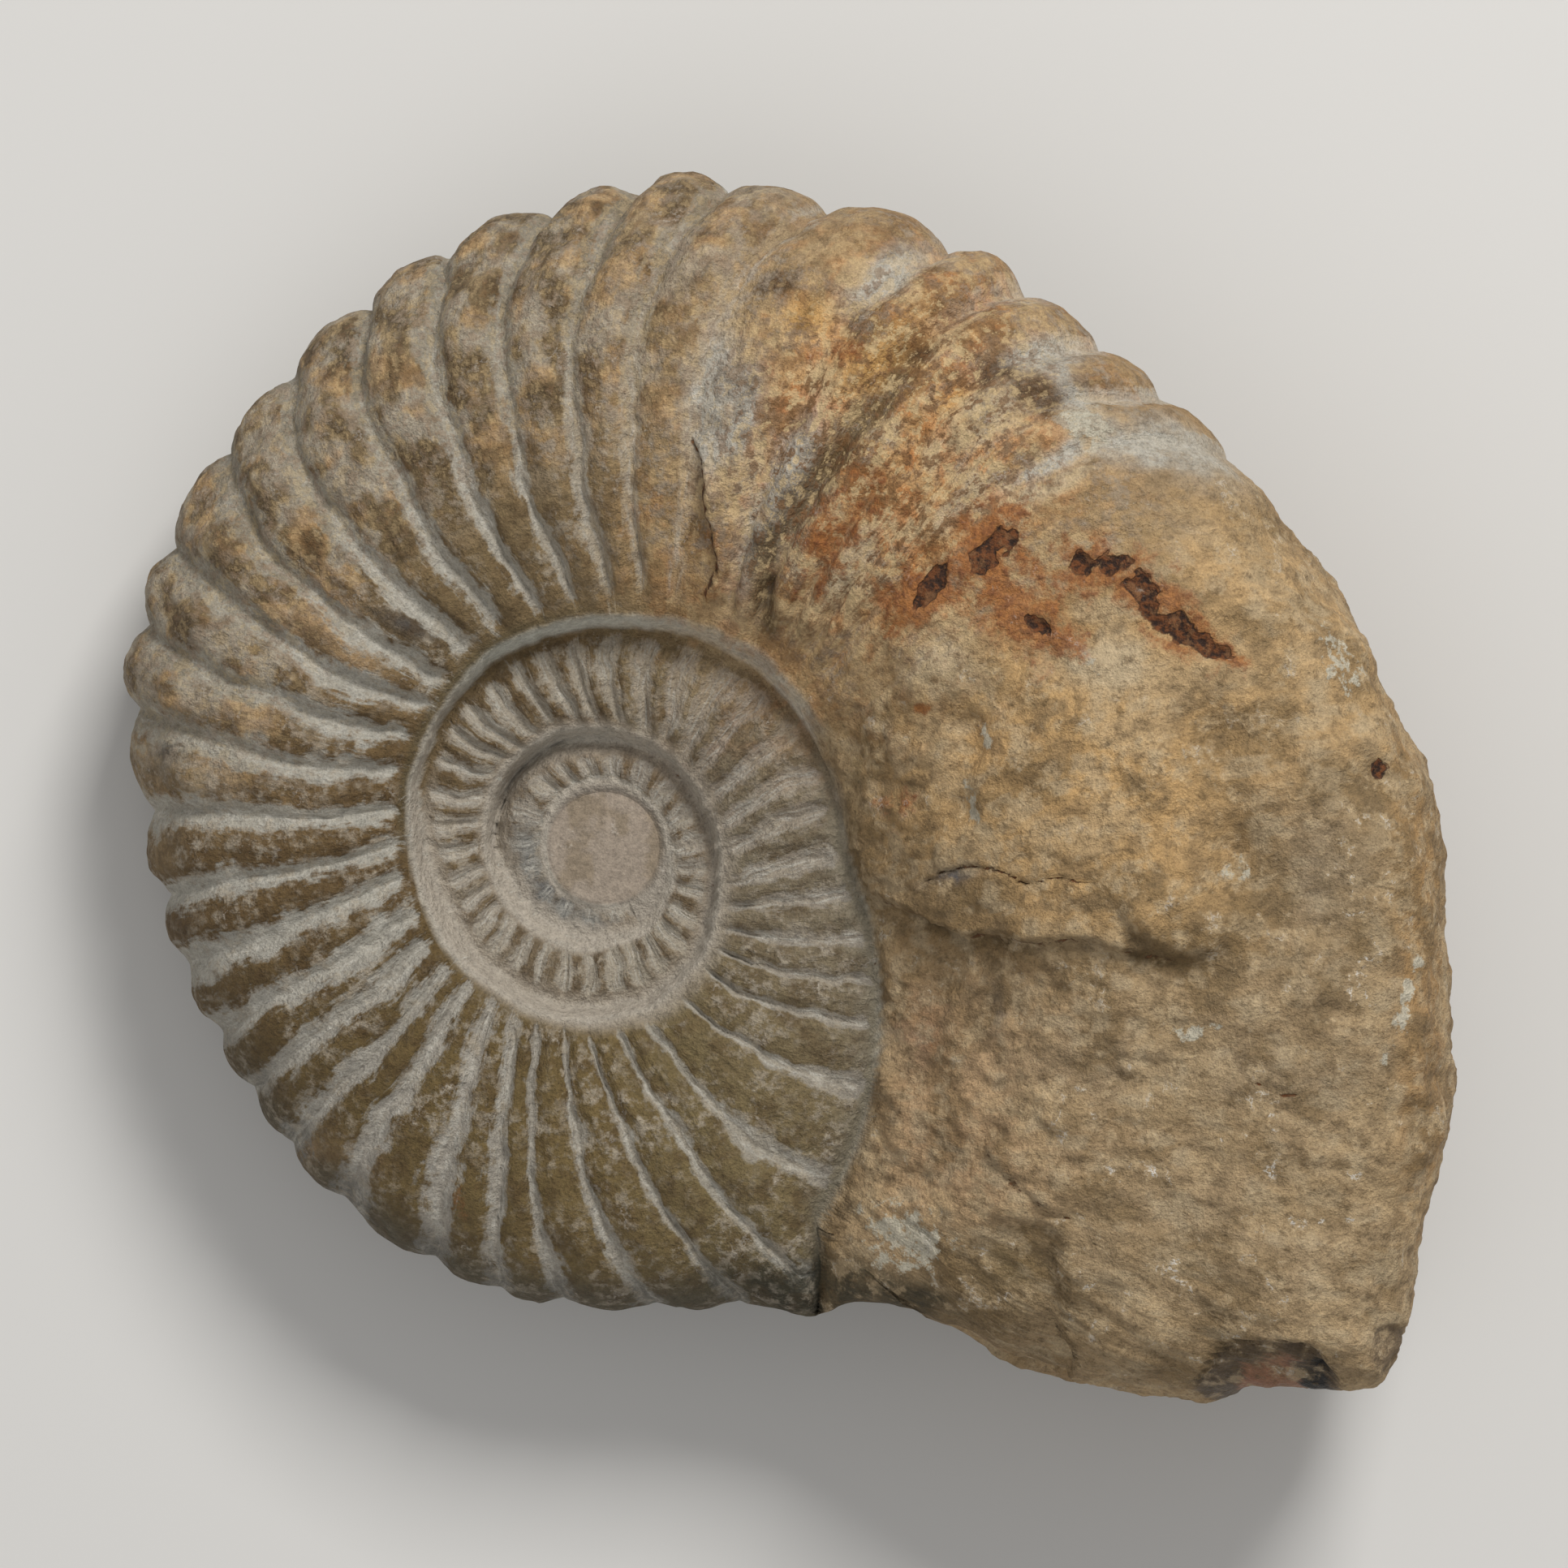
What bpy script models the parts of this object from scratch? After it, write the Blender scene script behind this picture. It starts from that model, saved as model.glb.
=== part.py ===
"""A fossil ammonite in limestone, lying on its hidden flank.

The shell coils clockwise towards its mouth, seen from above.  Its earlier whorls stand open as a
stepped hollow in the middle, and the last half turn widens into a block of the rock that filled the
living chamber.  The whole fossil is one natural piece, so it is one closed surface: rings of points
about the middle of the coil run out over the upper flank, round the outer edge and back in underneath.
"""

import math

import bmesh
import bpy
import numpy as np

NAME = "ammonite_fossil"

# Driving dimensions, in millimetres.
MM = 0.001
COIL_CENTRE = (-22.3, -7.75)  # middle of the coil, measured from the middle of the outline
MID_HEIGHT = 22.2             # height of the shell's plane of symmetry over the coil's centre
TILT_X = 0.105                # rise of that plane towards the thick mouth end
TILT_Y = 0.02
FLANK_CREST = 0.42            # where a whorl is thickest, from its inner shoulder to its outer edge
WHORL_ROUND = 2.3             # superellipse power of the outer edge of a whorl
BLOCK_ROUND = 4.0             # the same for the squarer block of rock
HOLLOW_FLOOR = 5.6            # half thickness of the plug of rock in the middle of the coil
UNDER_HOLLOW = 9.0            # half thickness under the middle of the coil
LAST_TURN = -65.5             # angle at which the outermost turn ends against the block
STEP_BLEND = 2.2              # least width over which the surface climbs from one turn to the next

# The outer edge: angle round the coil's centre in degrees, and radius.  Every list below runs
# backwards along the coil, from the mouth at LAST_TURN inwards, so an angle may pass 360 degrees.
OUTLINE = (
    (-65.5, 63.8), (-60, 65.4), (-57, 68.5), (-55, 72.4), (-53, 75.8), (-52, 79.2), (-50, 85.2),
    (-47, 91.0), (-44, 96.4), (-41.5, 102.0), (-39, 106.0), (-37.5, 110.0), (-35, 115.0),
    (-33.4, 116.2), (-31, 114.6), (-27, 112.4), (-23, 110.8), (-18, 109.6), (-14, 107.5), (-10, 106.0),
    (-7, 105.0), (-2, 104.1), (3, 102.6), (6.5, 101.4), (10, 98.7), (17, 96.8), (23, 94.6),
    (30, 92.0), (38, 89.2), (47, 87.2), (57, 86.8), (65, 85.8), (74, 84.0), (82, 83.8), (90, 81.2),
    (100, 78.3), (110, 75.2), (120, 72.1), (130, 69.4), (140, 67.4), (150, 65.2), (160, 63.0),
    (170, 59.1), (180, 56.6), (190, 55.2), (200, 54.3), (210, 53.8), (220, 54.0), (230, 54.9),
    (240, 55.6), (250, 56.3), (260, 57.1), (270, 57.2), (280, 58.1), (288, 59.8),
)

# The seam where each turn meets the one inside it, and the shoulder at the top of its inner wall.
SEAM = (
    (-65.5, 63.8), (-62, 57.0), (-60, 53.0), (-43, 44.8), (-31, 39.5), (-10, 32.0), (0, 29.6),
    (30, 29.2), (63, 28.3), (90, 27.0), (118, 26.4), (146, 25.0), (160, 23.8), (180, 21.6),
    (200, 20.2), (240, 20.0), (270, 19.7), (285, 19.0), (300, 17.8), (320, 16.2), (340, 14.6),
    (360, 13.8), (390, 12.9), (450, 12.7), (480, 13.0), (510, 13.8), (540, 13.0), (560, 11.6),
    (600, 10.9), (650, 10.7), (680, 9.3), (720, 7.6), (780, 7.4), (810, 7.9), (840, 8.5),
    (900, 8.8), (960, 8.6), (990, 9.4), (1014.5, 10.6),
)
SHOULDER = (
    (-65.5, 64.6), (-62, 57.8), (-60, 53.8), (-43, 45.6), (-31, 40.3), (-10, 32.8), (0, 30.8),
    (30, 32.0), (50, 32.4), (70, 30.8), (90, 30.0), (120, 28.7), (130, 27.3), (160, 25.5), (180, 24.2),
    (200, 23.6), (240, 22.0), (270, 21.5), (290, 20.2), (300, 19.0), (320, 17.2), (340, 15.3),
    (360, 14.3), (380, 13.5), (400, 13.6), (420, 14.0), (450, 15.0), (480, 15.6), (510, 15.6),
    (540, 14.8), (580, 13.8), (610, 13.1), (654.5, 11.6), (680, 10.2), (720, 8.6), (780, 8.3),
    (810, 8.8), (840, 9.4), (900, 9.8), (960, 9.8), (990, 10.2), (1014.5, 11.6),
)
# Radius that each turn would reach if the next one did not cover it.
FULL_RADIUS = (
    (294.5, 63.8), (300, 58.0), (317, 53.0), (329, 50.0), (350, 45.0), (360, 43.0), (450, 38.0),
    (540, 30.0), (630, 24.0), (720, 16.5), (810, 14.0), (1014.5, 13.5),
)
# Half thickness at the shoulder and at the crest of the flank.
SHOULDER_HEIGHT = (
    (-65.5, 3.0), (-62, 9.0), (-60, 11.0), (-55, 12.0), (-43, 13.3), (-31, 13.8), (-10, 14.2),
    (0, 15.0), (30, 16.5), (60, 17.3), (90, 17.5), (135, 15.5), (180, 13.8), (225, 12.8),
    (270, 12.2), (294.5, 11.8), (330, 11.0), (360, 10.5), (450, 9.6), (540, 8.0), (630, 6.9),
    (720, 5.9), (810, 5.3), (1014.5, 4.9),
)
CREST_HEIGHT = (
    (-65.5, 3.0), (-62, 9.2), (-60, 11.6), (-55, 15.5), (-50, 19.5), (-45, 23.0), (-40, 25.5),
    (-30, 28.0), (-10, 29.5), (5, 29.8), (30, 28.5), (45, 26.8), (60, 25.0), (90, 22.0),
    (135, 19.0), (180, 17.0), (225, 16.0), (270, 15.0), (294.5, 14.2), (330, 13.0), (360, 12.2),
    (450, 11.0), (540, 9.3), (630, 8.0), (720, 6.8), (810, 6.0), (1014.5, 5.2),
)
# Half thickness of the hidden flank at its crest, once round.
UNDER_CREST = (
    (-65.5, 14.5), (-60, 15.5), (-50, 20.0), (-40, 25.0), (-30, 28.5), (-10, 31.0), (5, 31.5),
    (30, 30.0), (60, 26.0), (90, 23.2), (135, 20.0), (180, 18.6), (225, 17.2), (270, 15.4),
)

# The furrows between the ribs: their angles half way out on the flank.
FURROWS = (
    20, 31, 42, 47, 52.5, 59.5, 66, 78, 86, 93.5, 102, 110, 119, 129, 138.5, 147, 156, 165, 174.5, 184.5,
    194, 204, 212.5, 221.5, 230, 241.5, 250.5, 256.5, 266, 275.5, 285, 295, 310.5, 321.5, 329.5,
    337.5, 348, 357, 369.5, 379, 392, 404, 415, 426, 436.5, 448.5, 458.5, 467, 476, 485, 494, 503,
    512, 521.5, 532, 542.5, 553, 563, 573, 583, 593, 603, 613.5, 624, 635, 646, 657, 670, 682, 695,
    709, 725, 745, 763, 782, 802, 823, 840, 856, 877, 897, 917, 937, 957, 977, 997, 1017,
)
# How the ribs hook forward at the shoulder, slant across the flank, and bend at the outer edge.
HOOK = ((0, 4), (60, 5), (90, 6), (160, 6), (185, 4), (250, 2), (340, 2), (440, 5), (490, 5), (520, 2.5))
SLANT = (
    (60, 0), (170, 1), (185, 4), (225, 3), (240, 10), (256, 12), (268, 17), (290, 21), (305, 24),
    (345, 23), (360, 16), (380, 8), (420, 2), (650, 3),
)
EDGE_BEND = (
    (20, 8), (28, 11), (38, 8.5), (45, 7.3), (60, 6.5), (71, 7.4), (87, 6.5), (95, 7.5),
    (105, 5.5), (123, 6), (134, 5), (144, 3), (164, 1.5), (178, 0),
)
# Depth of the furrows: nothing on the block of rock, then fading in over the old living chamber.
RELIEF = (
    (18, 0.0), (26, 0.0), (31, 0.7), (50, 1.1), (59, 1.5), (70, 1.3), (90, 1.5), (180, 1.35),
    (250, 1.3), (300, 1.1), (360, 0.8), (450, 0.85), (540, 0.65), (654, 0.45), (1014, 0.4),
)
EDGE_GAIN = 0.4               # how much deeper the furrows are where the ribs swell into knobs
# Share of the rib spacing that the furrow takes.
FURROW_SHARE = (
    (20, 0.4), (80, 0.4), (150, 0.4), (165, 0.5), (240, 0.55), (258, 0.3), (275, 0.2), (300, 0.22),
    (330, 0.32), (360, 0.55), (654, 0.6),
)

# Fineness of the surface.
COLUMNS_PER_RIB = 4
BLOCK_COLUMNS = 40
INNER_RADII = (3.5, 7.2, 9.6, 12.6, 15.3, 18.4, 21.3, 24.8)
FLANK_STEPS = 8
EDGE_STEPS = 5
UNDER_STEPS = 5
UNDER_RADII = (24.0, 14.0, 6.0)


def along(table, angle):
    """Value of a table at each angle."""
    places, values = zip(*table)
    return np.interp(angle, places, values)


def around(table, angle):
    """Value of a closed table at each angle, rounded through its points."""
    places = np.array([p for p, _ in table], float)
    values = np.array([v for _, v in table], float)
    places = np.concatenate((places[-2:] - 360, places, places[:3] + 360))
    values = np.concatenate((values[-2:], values, values[:3]))
    slopes = np.gradient(values, places)
    angle = (np.asarray(angle, float) - LAST_TURN) % 360 + LAST_TURN
    i = np.clip(np.searchsorted(places, angle, side="right") - 1, 0, len(places) - 2)
    step = places[i + 1] - places[i]
    t = (angle - places[i]) / step
    start = (2 * t**3 - 3 * t**2 + 1) * values[i] + (t**3 - 2 * t**2 + t) * step * slopes[i]
    end = (3 * t**2 - 2 * t**3) * values[i + 1] + (t**3 - t**2) * step * slopes[i + 1]
    return start + end


def smooth(t):
    """Ease from 0 to 1."""
    t = np.clip(t, 0, 1)
    return t * t * (3 - 2 * t)


def outer_radius(turn):
    """Radius of a turn's outer edge, along the coil."""
    return np.where(turn < LAST_TURN + 360, around(OUTLINE, turn), along(FULL_RADIUS, turn))


def rounding(turn):
    """Superellipse power of the outer edge, squarer on the block of rock."""
    return WHORL_ROUND + (BLOCK_ROUND - WHORL_ROUND) * smooth((55 - turn) / 55)


def whorl_height(turn, radius):
    """Half thickness of one turn at a radius from the middle of the coil."""
    shoulder = along(SHOULDER, turn)
    edge = np.maximum(outer_radius(turn), shoulder + 0.1)
    low = along(SHOULDER_HEIGHT, turn)
    high = along(CREST_HEIGHT, turn)
    crest = shoulder + FLANK_CREST * (edge - shoulder)
    rise = np.clip((radius - shoulder) / (crest - shoulder), 0, 1)
    flank = low + (high - low) * np.sin(0.5 * math.pi * rise)
    fall = np.clip((radius - crest) / (edge - crest), 0, 1)
    power = rounding(turn)
    return np.where(radius < crest, flank, high * (1 - fall**power) ** (1 / power))


def rib_relief(turn, radius):
    """Height of the ribs over the furrows between them."""
    shoulder = along(SHOULDER, turn)
    share = np.clip((radius - shoulder) / np.maximum(outer_radius(turn) - shoulder, 0.1), 0, 1)
    sweep = along(SLANT, turn) * (share - 0.45)
    sweep = sweep - along(HOOK, turn) * np.clip(1 - share / 0.4, 0, 1) ** 1.7
    sweep = sweep - along(EDGE_BEND, turn) * np.clip((share - 0.65) / 0.35, 0, 1) ** 1.5
    place = np.interp(turn - sweep, FURROWS, np.arange(len(FURROWS)))
    from_furrow = np.abs(place - np.round(place))
    rib = smooth(from_furrow / (0.5 * along(FURROW_SHARE, turn)) * 0.75 + 0.1)
    depth = along(RELIEF, turn) * (1 + EDGE_GAIN * smooth((share - 0.65) / 0.3))
    return depth * smooth(share / 0.1) * (rib - 0.5)


def block_relief(x, y):
    """Swells and the long ledge on the block of rock, from its place on the plan."""
    swell = 1.6 * np.exp(-((x - 33) / 13) ** 2 - ((y + 3) / 12) ** 2)
    swell = swell + 0.9 * np.exp(-((x - 18) / 7) ** 2 - ((y - 13) / 7) ** 2)
    ledge_line = -17.5 - 0.09 * (x - 14) - 3.2 * np.exp(-((x - 47) / 5) ** 2)
    over = smooth((y - ledge_line) / 2.4 + 0.5)
    reach = smooth((x - 9) / 8) * smooth((62 - x) / 14)
    ledge = 2.2 * over * reach * np.exp(-np.maximum(y - ledge_line, 0) / 22)
    hollow = -1.4 * np.exp(-((x - 27) / 5) ** 2 - ((y + 62) / 9) ** 2)
    return swell + ledge + hollow


def upper_height(angle, radius):
    """Half thickness of the upper flank, with its stepped hollow, without the ribs."""
    height = HOLLOW_FLOOR - 0.3 * (radius / 8) ** 2 + 0 * angle
    for inward in (2, 1, 0):
        turn = angle + 360 * inward
        seam = along(SEAM, turn)
        wall = np.maximum(along(SHOULDER, turn) - seam, STEP_BLEND)
        above = smooth((radius - seam) / wall)
        height = height * (1 - above) + whorl_height(turn, radius) * above
    return height


def upper_relief(angle, radius):
    """Ribs of every turn, and the swells of the block of rock."""
    relief = 0 * angle * radius
    for inward in (2, 1, 0):
        turn = angle + 360 * inward
        inside = smooth((radius - along(SEAM, turn)) / STEP_BLEND)
        relief = relief * (1 - inside) + rib_relief(turn, radius) * inside
    x = COIL_CENTRE[0] + radius * np.cos(np.radians(angle))
    y = COIL_CENTRE[1] + radius * np.sin(np.radians(angle))
    on_block = smooth((radius - along(SHOULDER, angle)) / 4) * smooth((45 - angle) / 30)
    return relief + block_relief(x, y) * on_block


def under_height(angle, radius):
    """Half thickness of the hidden flank, where rock fills most of the hollow."""
    edge = around(OUTLINE, angle)
    crest = 0.62 * edge
    high = around(UNDER_CREST, angle)
    rise = smooth(radius / crest)
    bowl = UNDER_HOLLOW + (high - UNDER_HOLLOW) * rise
    fall = np.clip((radius - crest) / (edge - crest), 0, 1)
    power = rounding(angle)
    return np.where(radius < crest, bowl, high * (1 - fall**power) ** (1 / power))


def column_angles():
    """Angles of the columns of points: a few for each rib, even steps round the block."""
    ribs = [f for f in FURROWS if f < LAST_TURN + 360 - 2]
    block = np.linspace(LAST_TURN, ribs[0], BLOCK_COLUMNS, endpoint=False)
    places = np.arange(0, len(ribs) - 1 + 0.01, 1 / COLUMNS_PER_RIB)
    coil = np.interp(places, np.arange(len(ribs)), ribs)
    rest = np.linspace(ribs[-1], LAST_TURN + 360, COLUMNS_PER_RIB + 1)[1:-1]
    return np.concatenate((block, coil, rest))


def swept(angle, share):
    """Angle of a column once it follows the slant of the ribs."""
    slant = np.interp(angle, (-65.5, -45, -10, 20, 170, 240, 268, 294.5), (21, 23, 16, 0, 0, 9, 16, 21))
    hook = np.interp(angle, (-65.5, 0, 80, 170, 250, 294.5), (2, 3, 6, 5, 2, 2))
    bend = np.interp(angle, (-65.5, 0, 35, 60, 90, 140, 178), (0, 0, 9, 7, 7, 5, 0))
    turned = slant * (np.clip(share, 0, 1) - 0.45) - hook * np.clip(1 - share / 0.4, 0, 1) ** 1.7
    return angle + turned - bend * np.clip((share - 0.65) / 0.35, 0, 1) ** 1.5


def ring_radii(angle):
    """Radius and side of each ring on one column: +1 above, 0 on the outer edge, -1 underneath."""
    edge = around(OUTLINE, angle)
    inner = INNER_RADII[-1]
    brow = edge - 0.3 * edge
    rings = [(r, 1) for r in INNER_RADII]
    for i in range(1, FLANK_STEPS + 1):
        rings.append((inner + (brow - inner) * i / FLANK_STEPS, 1))
    for i in range(1, EDGE_STEPS + 1):
        turn = 0.5 * math.pi * i / EDGE_STEPS
        side = 1 if i < EDGE_STEPS else 0
        rings.append((brow + (edge - brow) * math.sin(turn), side))
    for i in range(1, UNDER_STEPS + 1):
        turn = 0.5 * math.pi * (1 - i / UNDER_STEPS)
        rings.append((brow + (edge - brow) * math.sin(turn), -1))
    middle = 0.5 * (UNDER_RADII[0] + brow)
    rings.append((middle, -1))
    rings += [(r, -1) for r in UNDER_RADII]
    return rings


def surface_points(columns):
    """Grid of points, ring by ring from the middle of the upper side to that of the underside."""
    rings = [ring_radii(c) for c in columns]
    base = np.zeros((len(rings[0]), len(columns), 3))
    relief = np.zeros(base.shape[:2])
    for i in range(len(rings[0])):
        side = rings[0][i][1]
        first = np.array([ring[i][0] for ring in rings])
        share = (first / around(OUTLINE, columns) - 0.38) / 0.62
        angle = swept(columns, share)
        wrapped = (angle - LAST_TURN) % 360 + LAST_TURN
        edge_change = around(OUTLINE, wrapped) / around(OUTLINE, columns)
        radius = first * (1 + (edge_change - 1) * np.clip(share, 0, 1))
        x = COIL_CENTRE[0] + radius * np.cos(np.radians(angle))
        y = COIL_CENTRE[1] + radius * np.sin(np.radians(angle))
        middle = MID_HEIGHT + TILT_X * (x - COIL_CENTRE[0]) + TILT_Y * (y - COIL_CENTRE[1])
        if side > 0:
            height = upper_height(wrapped, radius)
            relief[i] = upper_relief(wrapped, radius)
        elif side < 0:
            height = -under_height(wrapped, radius)
            out = np.clip(radius / around(OUTLINE, wrapped), 0, 1)
            relief[i] = rib_relief(wrapped, radius) * smooth((out - 0.6) / 0.35)
        else:
            height = 0 * radius
            relief[i] = rib_relief(wrapped, radius)
        base[i] = np.stack((x, y, middle + height), axis=-1)
    return base, relief


def push_out(base, relief):
    """Move each point along the surface's own normal by its relief."""
    down = np.gradient(base, axis=0)
    round_ = np.roll(base, -1, axis=1) - np.roll(base, 1, axis=1)
    normal = np.cross(down, round_)
    normal /= np.maximum(np.linalg.norm(normal, axis=-1, keepdims=True), 1e-9)
    return base + normal * relief[..., None]


def limestone():
    """Weathered tan limestone."""
    material = bpy.data.materials.new("weathered_limestone")
    material.use_nodes = True
    shader = material.node_tree.nodes["Principled BSDF"]
    shader.inputs["Base Color"].default_value = (0.27, 0.215, 0.14, 1.0)
    shader.inputs["Roughness"].default_value = 0.85
    shader.inputs["Metallic"].default_value = 0.0
    return material


def add_rings(mesh, points):
    """Rings of vertices, half as many columns on the rings near the middle."""
    rings = []
    for i, ring in enumerate(points):
        near = i < len(INNER_RADII) - 1 or i >= len(points) - len(UNDER_RADII)
        step = 2 if near else 1
        rings.append([mesh.verts.new(p * MM) for p in ring[::step]])
    return rings


def join_rings(mesh, inner, outer):
    """Faces between two rings; either may hold half as many points as the other."""
    if len(inner) == len(outer):
        for j in range(len(inner)):
            k = (j + 1) % len(inner)
            mesh.faces.new((inner[j], outer[j], outer[k], inner[k]))
        return
    coarse, fine = (inner, outer) if len(inner) < len(outer) else (outer, inner)
    for j in range(len(coarse)):
        k = (j + 1) % len(coarse)
        a, b, c = fine[2 * j], fine[2 * j + 1], fine[(2 * j + 2) % len(fine)]
        for face in ((coarse[j], a, b), (coarse[j], b, coarse[k]), (coarse[k], b, c)):
            mesh.faces.new(face if coarse is inner else face[::-1])


def cap(mesh, ring, centre, upward):
    """A fan that closes the innermost ring."""
    middle = mesh.verts.new(centre * MM)
    for j in range(len(ring)):
        k = (j + 1) % len(ring)
        face = (middle, ring[j], ring[k])
        mesh.faces.new(face if upward else face[::-1])


def ammonite():
    """The whole fossil as one closed object."""
    columns = column_angles()
    if len(columns) % 2:
        columns = np.delete(columns, 1)
    points = push_out(*surface_points(columns))
    points[..., 2] = np.maximum(points[..., 2], 0)
    middle_x = 0.5 * (points[..., 0].max() + points[..., 0].min())
    middle_y = 0.5 * (points[..., 1].max() + points[..., 1].min())
    points -= (middle_x, middle_y, 0)
    top = points[0].mean(axis=0)
    bottom = points[-1].mean(axis=0)
    shape = bmesh.new()
    rings = add_rings(shape, points)
    for inner, outer in zip(rings, rings[1:]):
        join_rings(shape, inner, outer)
    cap(shape, rings[0], top, True)
    cap(shape, rings[-1], bottom, False)
    bmesh.ops.recalc_face_normals(shape, faces=shape.faces)
    bmesh.ops.triangulate(shape, faces=shape.faces)
    mesh = bpy.data.meshes.new(NAME)
    shape.to_mesh(mesh)
    shape.free()
    mesh.shade_smooth()
    mesh.materials.append(limestone())
    fossil = bpy.data.objects.new(NAME, mesh)
    collection = bpy.data.collections.new("ammonite")
    bpy.context.scene.collection.children.link(collection)
    collection.objects.link(fossil)
    return fossil


for old in list(bpy.data.objects):
    bpy.data.objects.remove(old)
made = ammonite()
print(NAME, "triangles", len(made.data.polygons), "size mm", [round(d / MM, 2) for d in made.dimensions])
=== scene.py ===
# %% [markdown]
# # An ammonite fossil
#
# The real object is one piece of limestone: the coiled shell of an ammonite, whose outer turns still
# carry their ribs, and a block of the rock that once filled the living chamber.  One natural piece
# calls for one mesh, so this script sculpts a single closed surface from rules: how the coil grows,
# where each rib sits, and how the rock broke, cracked and weathered.

# %% The frame the CAD gives
import math

import bpy
import numpy as np
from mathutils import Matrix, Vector


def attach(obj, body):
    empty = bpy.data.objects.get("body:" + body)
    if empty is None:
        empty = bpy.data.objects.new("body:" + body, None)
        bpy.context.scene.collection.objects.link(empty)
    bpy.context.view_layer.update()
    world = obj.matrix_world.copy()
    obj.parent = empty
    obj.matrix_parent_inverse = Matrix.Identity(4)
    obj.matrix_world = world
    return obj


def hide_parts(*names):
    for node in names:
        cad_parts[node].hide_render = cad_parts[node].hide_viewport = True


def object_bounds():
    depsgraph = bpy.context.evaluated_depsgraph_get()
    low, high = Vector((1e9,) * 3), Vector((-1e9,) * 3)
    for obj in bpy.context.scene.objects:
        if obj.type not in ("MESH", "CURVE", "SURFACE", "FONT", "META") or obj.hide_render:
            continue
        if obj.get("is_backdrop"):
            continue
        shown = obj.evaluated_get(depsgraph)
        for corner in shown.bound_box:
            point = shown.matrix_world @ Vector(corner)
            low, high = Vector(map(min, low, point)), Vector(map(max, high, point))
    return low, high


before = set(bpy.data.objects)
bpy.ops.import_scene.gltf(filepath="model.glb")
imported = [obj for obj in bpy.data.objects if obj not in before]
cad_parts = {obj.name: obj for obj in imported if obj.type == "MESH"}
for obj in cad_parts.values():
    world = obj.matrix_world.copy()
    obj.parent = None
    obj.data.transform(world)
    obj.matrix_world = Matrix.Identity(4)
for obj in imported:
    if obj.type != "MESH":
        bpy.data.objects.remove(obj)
CAD_LOW, CAD_HIGH = (np.array(corner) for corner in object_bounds())
MM = 0.001
print("CAD box in mm:", np.round((CAD_HIGH - CAD_LOW) / MM, 2))

# %% [markdown]
# ## How the coil grows
#
# An ammonite adds to its shell at the mouth, and each turn is larger than the one before.  Everything
# about it is easiest to say in polar terms: an angle round the middle of the coil and a radius.  The
# angle here runs backwards along the coil, from the mouth inwards, and simply passes 360 degrees for
# the inner turns.  A few values given at chosen angles, joined by a smooth rule, say how each
# measure changes along the coil.

# %% Outline, seams and shoulders of the turns, in millimetres
COIL_CENTRE = (-22.3, -7.75)
MID_HEIGHT = 22.2
TILT_X = 0.105
TILT_Y = 0.02
FLANK_CREST = 0.42
WHORL_ROUND = 2.3
BLOCK_ROUND = 4.0
HOLLOW_FLOOR = 5.6
UNDER_HOLLOW = 9.0
LAST_TURN = -65.5

OUTLINE = (
    (-65.5, 63.8), (-60, 65.4), (-57, 68.5), (-55, 72.4), (-53, 75.8), (-52, 79.2), (-50, 85.2),
    (-47, 91.0), (-44, 96.4), (-41.5, 102.0), (-39, 106.0), (-37.5, 110.0), (-35, 115.0),
    (-33.4, 116.2), (-31, 114.6), (-27, 112.4), (-23, 110.8), (-18, 109.6), (-14, 107.5), (-10, 106.0),
    (-7, 105.0), (-2, 104.1), (3, 102.6), (6.5, 101.4), (10, 98.7), (17, 96.8), (23, 94.6),
    (30, 92.0), (38, 89.2), (47, 87.2), (57, 86.8), (65, 85.8), (74, 84.0), (82, 83.8), (90, 81.2),
    (100, 78.3), (110, 75.2), (120, 72.1), (130, 69.4), (140, 67.4), (150, 65.2), (160, 63.0),
    (170, 59.1), (180, 56.6), (190, 55.2), (200, 54.3), (210, 53.8), (220, 54.0), (230, 54.9),
    (240, 55.6), (250, 56.3), (260, 57.1), (270, 57.2), (280, 58.1), (288, 59.8),
)
SEAM = (
    (-65.5, 63.8), (-62, 57.0), (-60, 53.0), (-43, 44.8), (-31, 39.5), (-10, 32.0), (0, 29.6),
    (30, 29.2), (63, 28.3), (90, 27.0), (118, 26.4), (146, 25.0), (160, 23.8), (180, 21.6),
    (200, 20.2), (240, 20.0), (270, 19.7), (285, 19.0), (300, 17.8), (320, 16.2), (340, 14.6),
    (360, 13.8), (390, 12.9), (450, 12.7), (480, 13.0), (510, 13.8), (540, 13.0), (560, 11.6),
    (600, 10.9), (650, 10.7), (680, 9.3), (720, 7.4), (780, 7.3), (810, 7.8), (840, 7.8),
    (900, 6.9), (960, 6.8), (990, 7.1), (1014.5, 7.6),
)
SHOULDER = (
    (-65.5, 64.6), (-62, 58.4), (-60, 54.8), (-43, 46.6), (-31, 41.3), (-10, 33.6), (0, 31.0),
    (30, 31.0), (50, 31.0), (70, 29.9), (90, 28.6), (120, 27.9), (130, 27.0), (160, 25.3), (180, 24.0),
    (200, 23.4), (240, 22.0), (270, 21.5), (290, 20.2), (300, 19.0), (320, 17.2), (340, 15.3),
    (360, 14.3), (380, 13.5), (400, 13.6), (420, 14.0), (450, 15.0), (480, 15.6), (510, 15.6),
    (540, 14.8), (580, 13.8), (610, 13.1), (654.5, 11.6), (680, 10.2), (720, 8.4), (780, 8.2),
    (810, 8.7), (840, 8.7), (900, 7.8), (960, 7.7), (990, 8.0), (1014.5, 8.6),
)
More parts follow.
